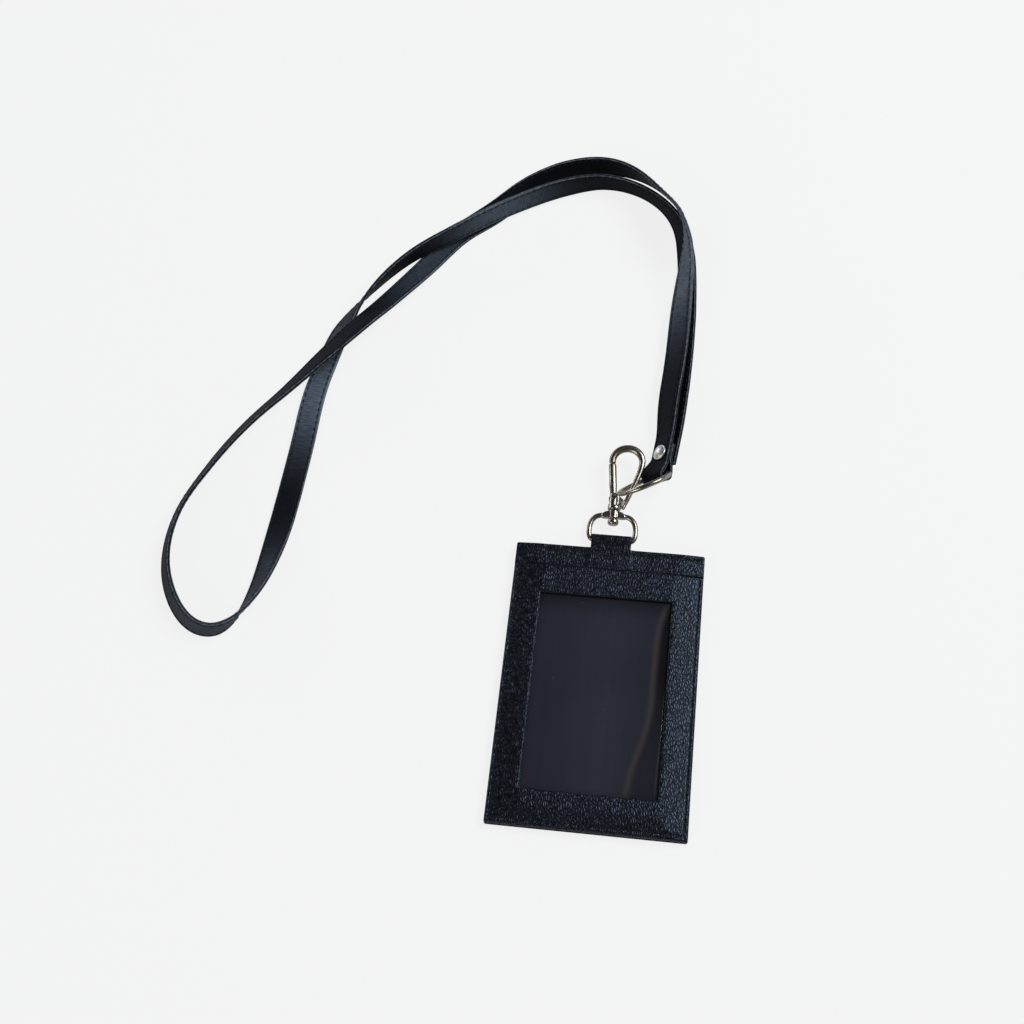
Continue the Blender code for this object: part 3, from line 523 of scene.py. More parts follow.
def plated(name, light, dark, rough):
    """Plated metal with faint casting waves, handling marks and darker tarnish."""
    made, tree, shader = finish_tree(name)
    place = tree.object_place()
    tarnish = tree.span(tree.noise(place, 210.0, 3.0), 0.35, 0.68)
    marks = tree.stretched(place, (900.0, 5200.0, 900.0))
    scratch = tree.span(tree.noise(marks, 1.0, 4.0), 0.55, 0.75)
    waves = tree.noise(place, 420.0, 1.0)
    colour = tree.mix(tarnish, light, dark)
    height = waves + scratch * 0.06
    normal = tree.bump(0.16, 0.00012, height)
    drive(tree, shader, Base_Color=colour, Roughness=rough + tarnish * 0.08 + scratch * 0.10, Normal=normal)
    drive(tree, shader, Metallic=1.0)
    return made


LEATHER = pebbled_leather("pebbled_leather")
STRAP_LEATHER = pebbled_leather("strap_leather", on_strap=True)
FILM = clear_film()
EDGE = patterned("burnished_edge", burnished_layers, (0.003, 0.003, 0.004), (0.012, 0.012, 0.016),
                 (0.55, 0.2), (0.7, 0.00008), Specular_IOR_Level=0.25)
THREAD = patterned("waxed_thread", twisted_strands, (0.003, 0.003, 0.004), (0.012, 0.013, 0.018),
                   (0.50, 0.15), (0.8, 0.00006), Specular_IOR_Level=0.25, Specular_Tint=SKY_TINT)
LINING = patterned("woven_lining", crossed_threads, (0.006, 0.006, 0.008), (0.020, 0.021, 0.026),
                   (0.75, 0.1), (0.6, 0.0001))
BOARD = patterned("pressed_board", pressed_fibres, (0.20, 0.16, 0.12), (0.34, 0.28, 0.21),
                  (0.8, 0.1), (0.4, 0.0001))
NICKEL = plated("dark_nickel", (0.38, 0.355, 0.31), (0.20, 0.165, 0.13), 0.24)
RIVET_METAL = plated("brushed_nickel", (0.74, 0.73, 0.71), (0.66, 0.645, 0.62), 0.40)
SPRING_STEEL = plated("spring_steel", (0.55, 0.55, 0.56), (0.38, 0.38, 0.40), 0.2)


@contextmanager
def edited(mesh):
    """Mesh opened for editing and written back at the end."""
    build = bmesh.new()
    build.from_mesh(mesh)
    yield build
    build.to_mesh(mesh)
    build.free()


def linked(name, mesh):
    made = bpy.data.objects.new(name, mesh)
    bpy.context.scene.collection.objects.link(made)
    return made


def mesh_from(name, points, faces):
    """Mesh whose faces point out, without the points that no face uses."""
    mesh = bpy.data.meshes.new(name)
    mesh.from_pydata([tuple(place) for place in points], [], [tuple(face) for face in faces])
    with edited(mesh) as build:
        loose = [vert for vert in build.verts if not vert.link_faces]
        bmesh.ops.delete(build, geom=loose, context="VERTS")
        bmesh.ops.recalc_face_normals(build, faces=build.faces)
    return mesh


def baked(made):
    """Mesh of an object with its modifiers and its place in it; the object goes."""
    bpy.context.view_layer.update()
    graph = bpy.context.evaluated_depsgraph_get()
    mesh = bpy.data.meshes.new_from_object(made.evaluated_get(graph))
    mesh.transform(made.matrix_world)
    bpy.data.objects.remove(made)
    return mesh


def piece(made, body, finish, replaces=(), sharp=38.0):
    """Finished piece with its object's name: modifiers baked in, finish and body set."""
    name = made.name
    mesh = baked(made)
    mesh.materials.clear()
    mesh.materials.append(finish)
    mesh.shade_smooth()
    mesh.set_sharp_from_angle(angle=math.radians(sharp))
    done = linked(name, mesh)
    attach(done, body)
    if replaces:
        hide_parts(*replaces)
    return done


def mesh_piece(mesh, body, finish, node):
    """Piece that has its mesh's name and stands for one CAD node."""
    return piece(linked(mesh.name, mesh), body, finish, (node,))


def mark_points(mesh, name, values):
    """Gives the mesh's points a value that a finish or a node group reads."""
    made = mesh.attributes.new(name, "FLOAT", "POINT")
    made.data.foreach_set("value", np.asarray(values, dtype=np.float32))


def node_finish(node, finish):
    """Gives a CAD node that stays its finish."""
    shown = frame["nodes"][node]
    shown.data.materials.clear()
    shown.data.materials.append(finish)


def smooth_path(rows, spans):
    """Smooth curve through rows of numbers, with a few points in each span."""
    rows = np.array(rows, dtype=float)
    gaps = np.linalg.norm(np.diff(rows[:, :3], axis=0), axis=1)[:, None]
    steps = np.diff(rows, axis=0) / gaps
    inner = (steps[1:] * gaps[:-1] + steps[:-1] * gaps[1:]) / (gaps[1:] + gaps[:-1])
    slopes = np.vstack([steps[:1], inner, steps[-1:]])
    t = (np.arange(spans) / spans)[:, None]
    found = []
    for index, gap in enumerate(gaps):
        near = rows[index] * (1 + 2 * t) + slopes[index] * gap * t
        far = rows[index + 1] * (3 - 2 * t) + slopes[index + 1] * gap * (t - 1)
        found.append(near * (1 - t) ** 2 + far * t ** 2)
    return np.vstack(found + [rows[-1:]])


def unit_rows(rows):
    """Directions, each made one long."""
    return rows / np.linalg.norm(rows, axis=1)[:, None]


def travelled(points):
    """Distance gone along a row of points, at each of them."""
    return np.concatenate([[0.0], np.cumsum(np.linalg.norm(np.diff(points, axis=0), axis=1))])


def hole_share(along, pitch):
    """How far a distance along a stitch row is into a needle hole: 1 in its middle."""
    phase = (along / pitch) % 1.0
    return np.exp(-((np.minimum(phase, 1.0 - phase) * pitch / HOLE_WIDTH) ** 2))


def clasp_frame():
    return Matrix.Translation(BAR_PLACE) @ Matrix.Rotation(CLASP_PITCH, 4, "X")


def ring_frame():
    """Ring's centre: x level along the ring, y up it, z through it."""
    along = Vector((math.cos(RING_HEADING), math.sin(RING_HEADING), 0.0))
    level = Vector((-math.sin(RING_HEADING), math.cos(RING_HEADING), 0.0))
    through = level * math.cos(RING_LEAN) + Vector((0.0, 0.0, math.sin(RING_LEAN)))
    up = through.cross(along)
    if up.z < 0:
        up = -up
    axes = Matrix((along, up, along.cross(up))).transposed()
    return Matrix.Translation(RING_PLACE) @ axes.to_4x4()


def stack_frame():
    """Middle of the loop's two plies at the rivet: x across, y along, z off the face."""
    reach = math.cos(STACK_CLIMB)
    along = Vector((math.sin(STACK_HEADING) * reach, math.cos(STACK_HEADING) * reach, math.sin(STACK_CLIMB)))
    level = Vector((math.cos(STACK_HEADING), -math.sin(STACK_HEADING), 0.0))
    across = level * math.cos(STACK_TILT) + level.cross(along) * math.sin(STACK_TILT)
    axes = Matrix((across, along, across.cross(along))).transposed()
    return Matrix.Translation(STACK_PLACE) @ axes.to_4x4()


CLASP = clasp_frame()
RING = ring_frame()
STACK = stack_frame()


def camera():
    made = bpy.data.cameras.new("camera")
    made.lens = CAMERA_LENS
    made.sensor_width = 36.0
    made.clip_start = 0.01
    shown = linked("camera", made)
    shown.location = CAMERA_PLACE
    shown.rotation_euler = [math.radians(turn) for turn in CAMERA_TURN]
    bpy.context.scene.camera = shown


camera()


# Section of a leather band

def band_section(half_width, half_thick, rows=()):
    """Half section from one edge over the top to the other: (across, off, edge paint and painted glint, row
    share).
    """
    shoulder = 0.42 * MM
    flat = half_width - shoulder
    across = set(np.linspace(-flat, flat, 9))
    for row in rows:
        for side in (-1, 1):
            for step in (-0.62, -0.36, -0.17, 0.0, 0.17, 0.36, 0.62):
                across.add(side * row + step * MM)
    edge = [(inset * MM, share * half_thick, paint_and_glint) for inset, share, paint_and_glint in BAND_EDGE]
    found = [(-half_width + inset, height, paint_and_glint, 0.0) for inset, height, paint_and_glint in edge]
    for place in sorted(across):
        near = min((abs(abs(place) - row) for row in rows), default=1.0)
        groove = math.exp(-((near / GROOVE_WIDTH) ** 2))
        found.append((place, half_thick, 0.0, groove))
    found += [(half_width - inset, height, paint_and_glint, 0.0) for inset, height, paint_and_glint in edge[:0:-1]]
    return found + [(half_width - edge[0][0], 0.0, edge[0][2], 0.0)]


STRAP_SECTION = band_section(STRAP_WIDTH / 2, STRAP_THICK / 2, (STRAP_ROW,))


def band_ring(section):
    """Whole section of a band: its half, and the same half turned over."""
    return list(section) + [(-w, -n, paint_and_glint, share) for w, n, paint_and_glint, share in section]


def closed_band(name, points, ring, gone):
    """Mesh of a swept band, closed at its ends, with its map and its edge paint with painted glint."""
    count = len(ring)
    length = len(gone)
    faces = []
    for i in range(length - 1):
        for k in range(count):
            a, b = i * count + k, i * count + (k + 1) % count
            faces.append((a, b, b + count, a + count))
    faces.append(tuple(range(count)))
    faces.append(tuple(range((length - 1) * count, length * count)))
    mesh = mesh_from(name, points, faces)
    mark_points(mesh, "edge_paint", np.tile([row[2] for row in ring], length))
    spread = mesh.uv_layers.new(name="strap")
    for corner in mesh.loops:
        i, k = divmod(corner.vertex_index, count)
        aside = MAP_SHIFT if k < count // 2 else -MAP_SHIFT
        spread.data[corner.index].uv = (ring[k][0] + aside, gone[i])
    return mesh


def band_mesh(name, places, across, facing, gone, section, pitch=None):
    """Leather band swept along places; its section lies in across and facing."""
    ring = band_ring(section)
    w, n, paint_and_glint, share = (np.array(column) for column in zip(*ring))
    side = np.where(np.arange(len(ring)) < len(section), 1.0, -1.0)
    dips = GROOVE_DEPTH + (HOLE_DEPTH * hole_share(gone, pitch) if pitch else 0.0 * gone)
    sway_size, sway_steps = BAND_SWAY
    ripple_size, ripple_steps = BAND_RIPPLE
    points = []
    for index, place in enumerate(places):
        sway = sway_size * noise.noise(Vector((gone[index] * sway_steps, 0.0, 3.0)))
        off = n - side * share * dips[index]
        for k in range(len(ring)):
            spot = Vector((gone[index] * ripple_steps, w[k] * ripple_steps, side[k]))
            ripple = ripple_size * noise.noise(spot) * side[k] if abs(n[k]) > 0 else 0.0
            points.append(place + across[index] * (w[k] + sway) + facing[index] * (off[k] + ripple))
    return closed_band(name, points, ring, gone)


# Neck strap

def strap_rows():
    """Rows of the free strap's route, with the ends that meet the loop and the tail."""
    along = STACK.to_3x3() @ Vector((0.0, 1.0, 0.0))
    reach = LOOP_LENGTH - RIVET_PLACE + TOUCH_GAP
    start = STACK @ Vector((0.0, reach, PLY_STEP / 2))
    stop = STACK @ Vector((TAIL_SHIFT, reach, TAIL_HEIGHT))
    lead = along * STRAP_LEAD
    tilt = math.degrees(STACK_TILT)
    return (
        [(*start, -tilt), (*(start + lead), -tilt)] + list(STRAP_ROUTE)
        + [(*(stop + lead), tilt), (*stop, tilt)]
    )


def relaxed(rows, step):
    """Rows evened out along the strap, its twist more than its bends; both ends stay as they are."""
    from_end = np.minimum(np.arange(len(rows)), np.arange(len(rows))[::-1]) * step
    share = np.clip((from_end - STRAP_EASE) / (4 * STRAP_EASE), 0.0, 1.0)
    share = share ** 2 * (3 - 2 * share)
    found = rows.copy()
    for column, ease in enumerate((STRAP_EASE, STRAP_EASE, STRAP_EASE, STRAP_TWIST_EASE)):
        reach = int(round(3 * ease / step))
        weights = np.exp(-((np.arange(-reach, reach + 1) * step / ease) ** 2) / 2)
        padded = np.pad(rows[:, column], reach, mode="edge")
        even = np.convolve(padded, weights / weights.sum(), mode="valid")
        found[:, column] += share * (even - rows[:, column])
    return found


def strap_line(step):
    """Places, directions across and off the face, and distances along the free strap."""
    fine = smooth_path(strap_rows(), 40)
    gone = travelled(fine[:, :3])
    count = int(round(gone[-1] / step)) + 1
    wanted = np.linspace(0.0, gone[-1], count)
    rows = np.stack([np.interp(wanted, gone, column) for column in fine.T], axis=1)
    rows = relaxed(rows, gone[-1] / (count - 1))
    ahead = unit_rows(np.gradient(rows[:, :3], axis=0))
    level = unit_rows(np.cross((0.0, 0.0, 1.0), ahead))
    upper = np.cross(ahead, level)
    tilt = np.radians(rows[:, 3])[:, None]
    across = level * np.cos(tilt) + upper * np.sin(tilt)
    return rows[:, :3], across, np.cross(ahead, across), ahead, wanted


def even_pitch(gone):
    """Pitch near the usual one that spreads whole stitches over a band's length."""
    return gone[-1] / round(gone[-1] / STRAP_PITCH)


def lanyard_strap(course):
    """Free neck strap along its course, with its stitch rows and its stretches of coat and painted sheen."""
    places, across, facing, ahead, gone = course
    mesh = band_mesh("neck_strap", places, across, facing, gone, STRAP_SECTION, even_pitch(gone))
    polish = sum(share * np.exp(-((gone - middle) / half) ** 2) for middle, half, share in SHEEN_PAINTED_STRETCHES)
    mark_points(mesh, "polish", np.repeat(polish, 2 * len(STRAP_SECTION)))
    return mesh_piece(mesh, "strap", STRAP_LEATHER, "lanyard_strap")


def strap_stitches(course):
    """Stitch places on both faces of the free strap: place, facing and direction."""
    gone = course[4]
    pitch = even_pitch(gone)
    off = STRAP_THICK / 2 - 0.06 * MM
    found = []
    for middle in np.arange(pitch / 2, gone[-1], pitch):
        place, across, facing, ahead = (
            np.array([np.interp(middle, gone, column) for column in table.T]) for table in course[:4]
        )
        for row in (-STRAP_ROW, STRAP_ROW):
            for side in (-1.0, 1.0):
                found.append((place + across * row + facing * side * off, facing * side, ahead))
    return found


# Strap ends at the ring

def ring_point(turn):
    return Vector((RING_RADIUS * math.sin(turn), -RING_RADIUS * math.cos(turn), 0.0))


def closed_share(along):
    """Share of the way from the ring's wire to the place where the loop is closed."""
    return min(max(along / LOOP_CLOSES_AT, 0.0), 1.0)


def eased(along):
    """How far the loop has turned from the ring's wire to the rivet's stack."""
    share = closed_share(along)
    return share * share * (3 - 2 * share)


def ply_height(along):
    """Half the gap between the plies' middles: widest at the wire, closed at the stack."""
    return PLY_STEP / 2 + (LOOP_BEND - PLY_STEP / 2) * (1 - closed_share(along)) ** 1.5


def strap_place(along, aside, side):
    """Place on a ply's middle face; side is 1 for the upper ply and -1 for the lower one."""
    turn = LOOP_PLACE + aside * LOOP_SPREAD / RING_RADIUS
    wire_place = RING @ ring_point(turn)
    tangent = RING.to_3x3() @ Vector((math.cos(turn), math.sin(turn), 0.0))
    toward = STACK @ Vector((aside, 0.0, 0.0)) - wire_place
    away = (toward - tangent * toward.dot(tangent)).normalized()
    height = side * ply_height(along)
    near = wire_place + away * along + tangent.cross(away) * height
    far = STACK @ Vector((aside, along - RIVET_PLACE, height))
    return near.lerp(far, eased(along))


def loop_side():
    """The strap's path seen from its edge, as (along, side): upper ply, bend, lower ply."""
    wrap = math.pi / 2 + LOOP_LEAD
    lead = LOOP_BEND * math.sin(LOOP_LEAD)
    upper = [(step, 1.0) for step in np.arange(LOOP_LENGTH + TOUCH_GAP, lead + 0.3 * MM, -0.5 * MM)]
    bend = [(-LOOP_BEND * math.cos(turn), math.sin(turn)) for turn in np.linspace(wrap, -wrap, 29)]
    lower = [(step, -1.0) for step in np.arange(lead + 0.5 * MM, LOOP_BACK_LENGTH + 0.1 * MM, 0.5 * MM)]
    return upper + bend + lower


def strap_loop():
    """Strap end round the ring: a band whose middle face follows the ring and the stack."""
    ring = band_ring(STRAP_SECTION)
    asides = sorted({round(row[0], 9) for row in ring})
    path = loop_side()
    middle = {aside: np.array([strap_place(along, aside, side) for along, side in path]) for aside in asides}
    ahead = {aside: np.gradient(table, axis=0) for aside, table in middle.items()}
    gone = travelled(np.array([strap_place(along, 0.0, side) for along, side in path]))
    dips = GROOVE_DEPTH + HOLE_DEPTH * hole_share(gone, STRAP_PITCH)
    cross = middle[asides[-1]] - middle[asides[0]]
    points = []
    for i in range(len(path)):
        for k, (w, n, paint_and_glint, share) in enumerate(ring):
            aside = round(w, 9)
            off = np.cross(ahead[aside][i], cross[i])
            off /= np.linalg.norm(off)
            side = 1.0 if k < len(STRAP_SECTION) else -1.0
            points.append(middle[aside][i] + off * (n - side * share * dips[i]))
    mesh = closed_band("strap_loop", points, ring, -gone)
    return mesh_piece(mesh, "strap", STRAP_LEATHER, "strap_end_loop")


def strap_tail():
    """Other strap end, flat under the loop's lower ply."""
    steps = np.arange(TAIL_START, LOOP_LENGTH + TOUCH_GAP + 0.1 * MM, 0.6 * MM)
    steps[-1] = LOOP_LENGTH + TOUCH_GAP
    places = np.array([STACK @ Vector((TAIL_SHIFT, step - RIVET_PLACE, TAIL_HEIGHT)) for step in steps])
    axes = np.array(STACK.to_3x3())
    across = np.tile(axes[:, 0], (len(steps), 1))
    facing = np.tile(axes[:, 2], (len(steps), 1))
    mesh = band_mesh("strap_tail", places, across, facing, steps + TAIL_MAP_START, STRAP_SECTION, STRAP_PITCH)
    return mesh_piece(mesh, "strap", STRAP_LEATHER, "strap_end_tail")


# Stitches

def node_group(name, inputs, output):
    """New geometry node group: itself, its tree and its inputs by name."""
    group = bpy.data.node_groups.new(name, "GeometryNodeTree")
    for label, kind in inputs:
        group.interface.new_socket(label, in_out="INPUT", socket_type="NodeSocket" + kind)
    group.interface.new_socket(output, in_out="OUTPUT", socket_type="NodeSocketGeometry")
    tree = Tree(group)
    entry = group.nodes.new("NodeGroupInput")
    return group, tree, {socket.name: Expression(tree, socket) for socket in entry.outputs if socket.name}


def end_group(group, tree, shape, finish):
    """Makes the group's shape real, gives it its material and hands it out."""
    real = tree.node("GeometryNodeRealizeInstances", None, {"Geometry": shape})
    dressed = tree.node("GeometryNodeSetMaterial", None, {"Geometry": real, "Material": finish})
    leave = group.nodes.new("NodeGroupOutput")
    group.links.new(dressed.socket, leave.inputs[0])
    return group


def carried(tree, name, kind="FLOAT_VECTOR"):
    """Attribute of the guide's points."""
    return tree.node("GeometryNodeInputNamedAttribute", {"data_type": kind}, {"Name": name})


def stitch_tree():
    """Geometry nodes: one thread stitch on each guide point, turned to its face and direction."""
    inputs = [("Guide", "Geometry"), ("Seed", "Int"), ("Thread", "Material")]
    inputs += [(label, "Float") for label in ("Length", "Width", "Height", "Slant", "Jitter")]
    group, tree, given = node_group("stitches", inputs, "Stitches")
    ball = tree.node("GeometryNodeMeshUVSphere", None, {"Segments": 8, "Rings": 6, "Radius": 0.5})
    sizes = {index: given[name] for index, name in enumerate(("Length", "Width", "Height"))}
    size = tree.node("ShaderNodeCombineXYZ", None, sizes)
    stitch = tree.node("GeometryNodeTransform", None, {"Geometry": ball, "Scale": size})
    turn = tree.node("FunctionNodeAxesToRotation", {"primary_axis": "Z", "secondary_axis": "X"},
                     {0: carried(tree, "facing"), 1: carried(tree, "along")})
    least, most = given["Slant"] - given["Jitter"], given["Slant"] + given["Jitter"]
    spin = tree.node("FunctionNodeRandomValue", {"data_type": "FLOAT"},
                     {"Min": least, "Max": most, "Seed": given["Seed"]}, 1)
    slant = tree.node("ShaderNodeCombineXYZ", None, {2: spin})
    slanted = tree.node("FunctionNodeRotateRotation", {"rotation_space": "LOCAL"}, {0: turn, 1: slant})
    placed = tree.node("GeometryNodeInstanceOnPoints", None,
                       {"Points": given["Guide"], "Instance": stitch, "Rotation": slanted})
    return end_group(group, tree, placed, given["Thread"])


def grown(name, mesh, group, values):
    """Object whose geometry nodes have their inputs set by name."""
    made = linked(name, mesh)
    step = made.modifiers.new(group.name, "NODES")
    step.node_group = group
    for socket in group.interface.items_tree:
        if socket.item_type == "SOCKET" and socket.in_out == "INPUT" and socket.name in values:
            step[socket.identifier] = values[socket.name]
    return made


STITCHES = stitch_tree()


def stitches(name, body, rows, length, seed):
    """One object of stitches from (place, facing, direction) rows."""
    mesh = bpy.data.meshes.new(name)
    mesh.from_pydata([tuple(row[0]) for row in rows], [], [])
    for label, column in (("facing", 1), ("along", 2)):
        values = mesh.attributes.new(label, "FLOAT_VECTOR", "POINT")
        values.data.foreach_set("vector", np.array([row[column] for row in rows], dtype=np.float32).ravel())
    values = {"Length": length, "Width": THREAD_WIDTH, "Height": THREAD_HEIGHT, "Slant": math.radians(5.0),
              "Jitter": math.radians(3.0), "Seed": seed, "Thread": THREAD}
    return piece(grown(name, mesh, STITCHES, values), body, THREAD)


# Sheets of the holder

def near_lines(low, high):
    """Grid places close to both ends, for the rounded edges."""
    close = [step * MM for step in EDGE_STEPS]
    return [low, high] + [low + step for step in close] + [high - step for step in close]


def grid_lines(low, high, step, extra=()):
    found = sorted(near_lines(low, high) + list(extra) + list(np.arange(low + step / 2, high, step)))
    kept = [low]
    for value in found:
        if value - kept[-1] > 0.03 * MM and value <= high:
            kept.append(value)
    kept[-1] = high
    return np.array(kept)


def dropped(distance, radius=EDGE_ROUND):
    """How far a rounded edge has fallen at a distance inside the edge."""
    inside = np.clip(radius - np.maximum(distance, 0.0), 0.0, radius)
    return radius - np.sqrt(radius ** 2 - inside ** 2)


def rolling(x, y, scale, height, seed):
    """Gentle unevenness of a soft sheet."""
    flat = np.array([noise.noise(Vector((a * scale, b * scale, seed))) for a, b in zip(x.ravel(), y.ravel())])
    return flat.reshape(x.shape) * height


def row_dip(distance, along, pitch=STITCH_PITCH):
    """Groove of a stitch row with a deeper hole between every two stitches."""
    return np.exp(-((distance / GROOVE_WIDTH) ** 2)) * (GROOVE_DEPTH + HOLE_DEPTH * hole_share(along, pitch))


def span_mask(value, low, high, soft=0.4 * MM):
    return np.clip((value - low) / soft + 1.0, 0.0, 1.0) * np.clip((high - value) / soft + 1.0, 0.0, 1.0)


def side_rows(x, y, low_y, high_y):
    """Grooves of the left, right and lower stitch rows."""
    dip = row_dip(x - ROW_LEFT, y - ROW_LOW) * span_mask(y, low_y, high_y)
    dip = np.maximum(dip, row_dip(x - ROW_RIGHT, y - ROW_LOW) * span_mask(y, low_y, high_y))
    if low_y <= ROW_LOW:
        dip = np.maximum(dip, row_dip(y - ROW_LOW, x - ROW_LEFT) * span_mask(x, ROW_LEFT, ROW_RIGHT))
    return dip


def rounded_corner(x, y, low, high, radius):
    """Grid moved in at the corners of a rectangle, so that they are round."""
    moved_x, moved_y = x.copy(), y.copy()
    for sx, ex in ((-1, low[0]), (1, high[0])):
        for sy, ey in ((-1, low[1]), (1, high[1])):
            u = np.clip((sx * (x - ex) + radius) / radius, 0.0, 1.0)
            v = np.clip((sy * (y - ey) + radius) / radius, 0.0, 1.0)
            inside = (u > 0) & (v > 0)
            moved_x = np.where(inside, ex + sx * radius * (u * np.sqrt(1 - v ** 2 / 2) - 1), moved_x)
            moved_y = np.where(inside, ey + sy * radius * (v * np.sqrt(1 - u ** 2 / 2) - 1), moved_y)
    return moved_x, moved_y


def slab(name, xs, ys, top, bottom, hole=None, round_from=None):
    """Closed sheet over a grid; top and bottom give its heights and hole a part left out."""
    x, y = np.meshgrid(xs, ys, indexing="ij")
    upper, lower = top(x, y), bottom(x, y)
    px, py = (x, y) if round_from is None else rounded_corner(x, y, *round_from)
    points = np.concatenate([np.stack([px, py, height], -1).reshape(-1, 3) for height in (upper, lower)])
    nx, ny = len(xs), len(ys)
    under = nx * ny
    mid_x, mid_y = (xs[1:] + xs[:-1]) / 2, (ys[1:] + ys[:-1]) / 2
    kept = np.ones((nx + 1, ny + 1), dtype=bool)
    kept[0] = kept[-1] = False
    kept[:, 0] = kept[:, -1] = False
    if hole is not None:
        (x0, y0), (x1, y1) = hole
        kept[1:-1, 1:-1] = ~np.outer((mid_x > x0) & (mid_x < x1), (mid_y > y0) & (mid_y < y1))
    faces = []
    for i in range(1, nx):
        for j in range(1, ny):
            if not kept[i, j]:
                continue
            a, b, c, d = (i - 1) * ny + j - 1, i * ny + j - 1, i * ny + j, (i - 1) * ny + j
            faces.append((a, b, c, d))
            faces.append((a + under, d + under, c + under, b + under))
            for first, second, beside in ((a, b, kept[i, j - 1]), (b, c, kept[i + 1, j]),
                                          (c, d, kept[i, j + 1]), (d, a, kept[i - 1, j])):
                if not beside:
                    faces.append((second, first, first + under, second + under))
    return mesh_from(name, points, faces)


HOLDER_BOX = ((-HALF_WIDTH, -HALF_HEIGHT), (HALF_WIDTH, HALF_HEIGHT), CORNER_RADIUS)


def sheet(name, node, finish, xs, ys, top, bottom, hole=None, corners=HOLDER_BOX):
    """Finished sheet of the holder, standing for one CAD node."""
    mesh = slab(name, xs, ys, top, bottom, hole, corners)
    return mesh_piece(mesh, "holder", finish, node)


def side_distance(x, y, low, high):
    return np.minimum(np.minimum(x - low[0], high[0] - x), np.minimum(y - low[1], high[1] - y))


def row_lines(*rows):
    return [row + step * MM for row in rows for step in (-0.5, -0.25, 0.0, 0.25, 0.5)]


def hole_steps(start, low, high):
    """Places of the stitch holes and the grid between them."""
    return list(np.arange(start, high, STITCH_PITCH / 8)) + list(np.arange(start, low, -STITCH_PITCH / 8))


def side_fall(x, y):
    """How far the front has been pulled down towards its stitched sides."""
    side = np.minimum(np.minimum(x + HALF_WIDTH, HALF_WIDTH - x), y + HALF_HEIGHT + 4.0 * MM)
    return SIDE_FALL * np.clip(1 - side / SIDE_FALL_REACH, 0.0, 1.0) ** 1.2


def front_height(x, y):
    """Height of the front leather's outer face, without its stitch rows."""
    outer = np.minimum(side_distance(x, y, (-HALF_WIDTH, -HALF_HEIGHT), (HALF_WIDTH, MOUTH_Y + MM)),
                       (MOUTH_Y - y) + 0.15 * MM)
    window = -side_distance(x, y, WINDOW_LOW, WINDOW_HIGH)
    lip = LIP_DEPTH * np.clip(1 - window / LIP_REACH, 0.0, 1.0) ** 2
    height = FRONT_TOP - side_fall(x, y) - lip - dropped(outer, TURNED_EDGE) - dropped(window, WINDOW_ROUND)
    return height + rolling(x, y, *LEATHER_ROLL, 1.0) * np.clip(outer / (3.0 * MM), 0.0, 1.0)


def wavy_window(mesh):
    """Lets the window's cut edge wander a little, as hand-cut soft leather does."""
    for vert in mesh.vertices:
        x, y = vert.co.x, vert.co.y
        near_low = math.exp(-(((y - WINDOW_LOW[1]) / (1.2 * MM)) ** 2))
        near_side = math.exp(-(((abs(x) - WINDOW_HIGH[0]) / (1.2 * MM)) ** 2))
        vert.co.y += near_low * 0.30 * MM * noise.noise(Vector((x * 260.0, 0.0, 4.0)))
        vert.co.x += near_side * 0.12 * MM * noise.noise(Vector((0.0, y * 180.0, 8.0)))


def front_frame():
    """Front leather: rounded outer and window edges, falling gently to the stitched sides."""
    def top(x, y):
        return front_height(x, y) - side_rows(x, y, -HALF_HEIGHT, MOUTH_Y - 1.2 * MM)

    def bottom(x, y):
        return FRONT_LOW - 0.15 * MM - side_fall(x, y)

    close = [step * MM for step in WINDOW_STEPS]
    near_x, near_y = ([low - step for step in close] + [high + step for step in close]
                      for low, high in zip(WINDOW_LOW, WINDOW_HIGH))
    extra_x = row_lines(ROW_LEFT, ROW_RIGHT) + near_x + hole_steps(ROW_LEFT, -HALF_WIDTH, HALF_WIDTH)
    extra_y = row_lines(ROW_LOW) + near_y + hole_steps(ROW_LOW, -HALF_HEIGHT, MOUTH_Y)
    xs = grid_lines(-HALF_WIDTH, HALF_WIDTH, 0.75 * MM, extra_x)
    ys = grid_lines(-HALF_HEIGHT, MOUTH_Y, 0.75 * MM, extra_y)
    mesh = slab("front_frame", xs, ys, top, bottom, (WINDOW_LOW, WINDOW_HIGH), HOLDER_BOX)
    wavy_window(mesh)
    return mesh_piece(mesh, "holder", LEATHER, "front_panel")


def back_cover():
    """Back leather, with the stitch rows showing on its outer face."""
    def top(x, y):
        return np.full(x.shape, BACK_TOP)

    def bottom(x, y):
        outer = side_distance(x, y, *HOLDER_BOX[:2])
        dip = side_rows(x, y, -HALF_HEIGHT, HALF_HEIGHT)
        dip = np.maximum(dip, row_dip(y - ROW_HIGH, x - ROW_LEFT) * span_mask(x, ROW_LEFT, ROW_RIGHT))
        return dropped(outer) + dip

    extra_x = row_lines(ROW_LEFT, ROW_RIGHT) + hole_steps(ROW_LEFT, -HALF_WIDTH, HALF_WIDTH)
    extra_y = row_lines(ROW_LOW, ROW_HIGH) + hole_steps(ROW_LOW, -HALF_HEIGHT, HALF_HEIGHT)
    xs = grid_lines(-HALF_WIDTH, HALF_WIDTH, 1.0 * MM, extra_x)
    ys = grid_lines(-HALF_HEIGHT, HALF_HEIGHT, 1.0 * MM, extra_y)
    return sheet("back_cover", "back_panel", LEATHER, xs, ys, top, bottom)


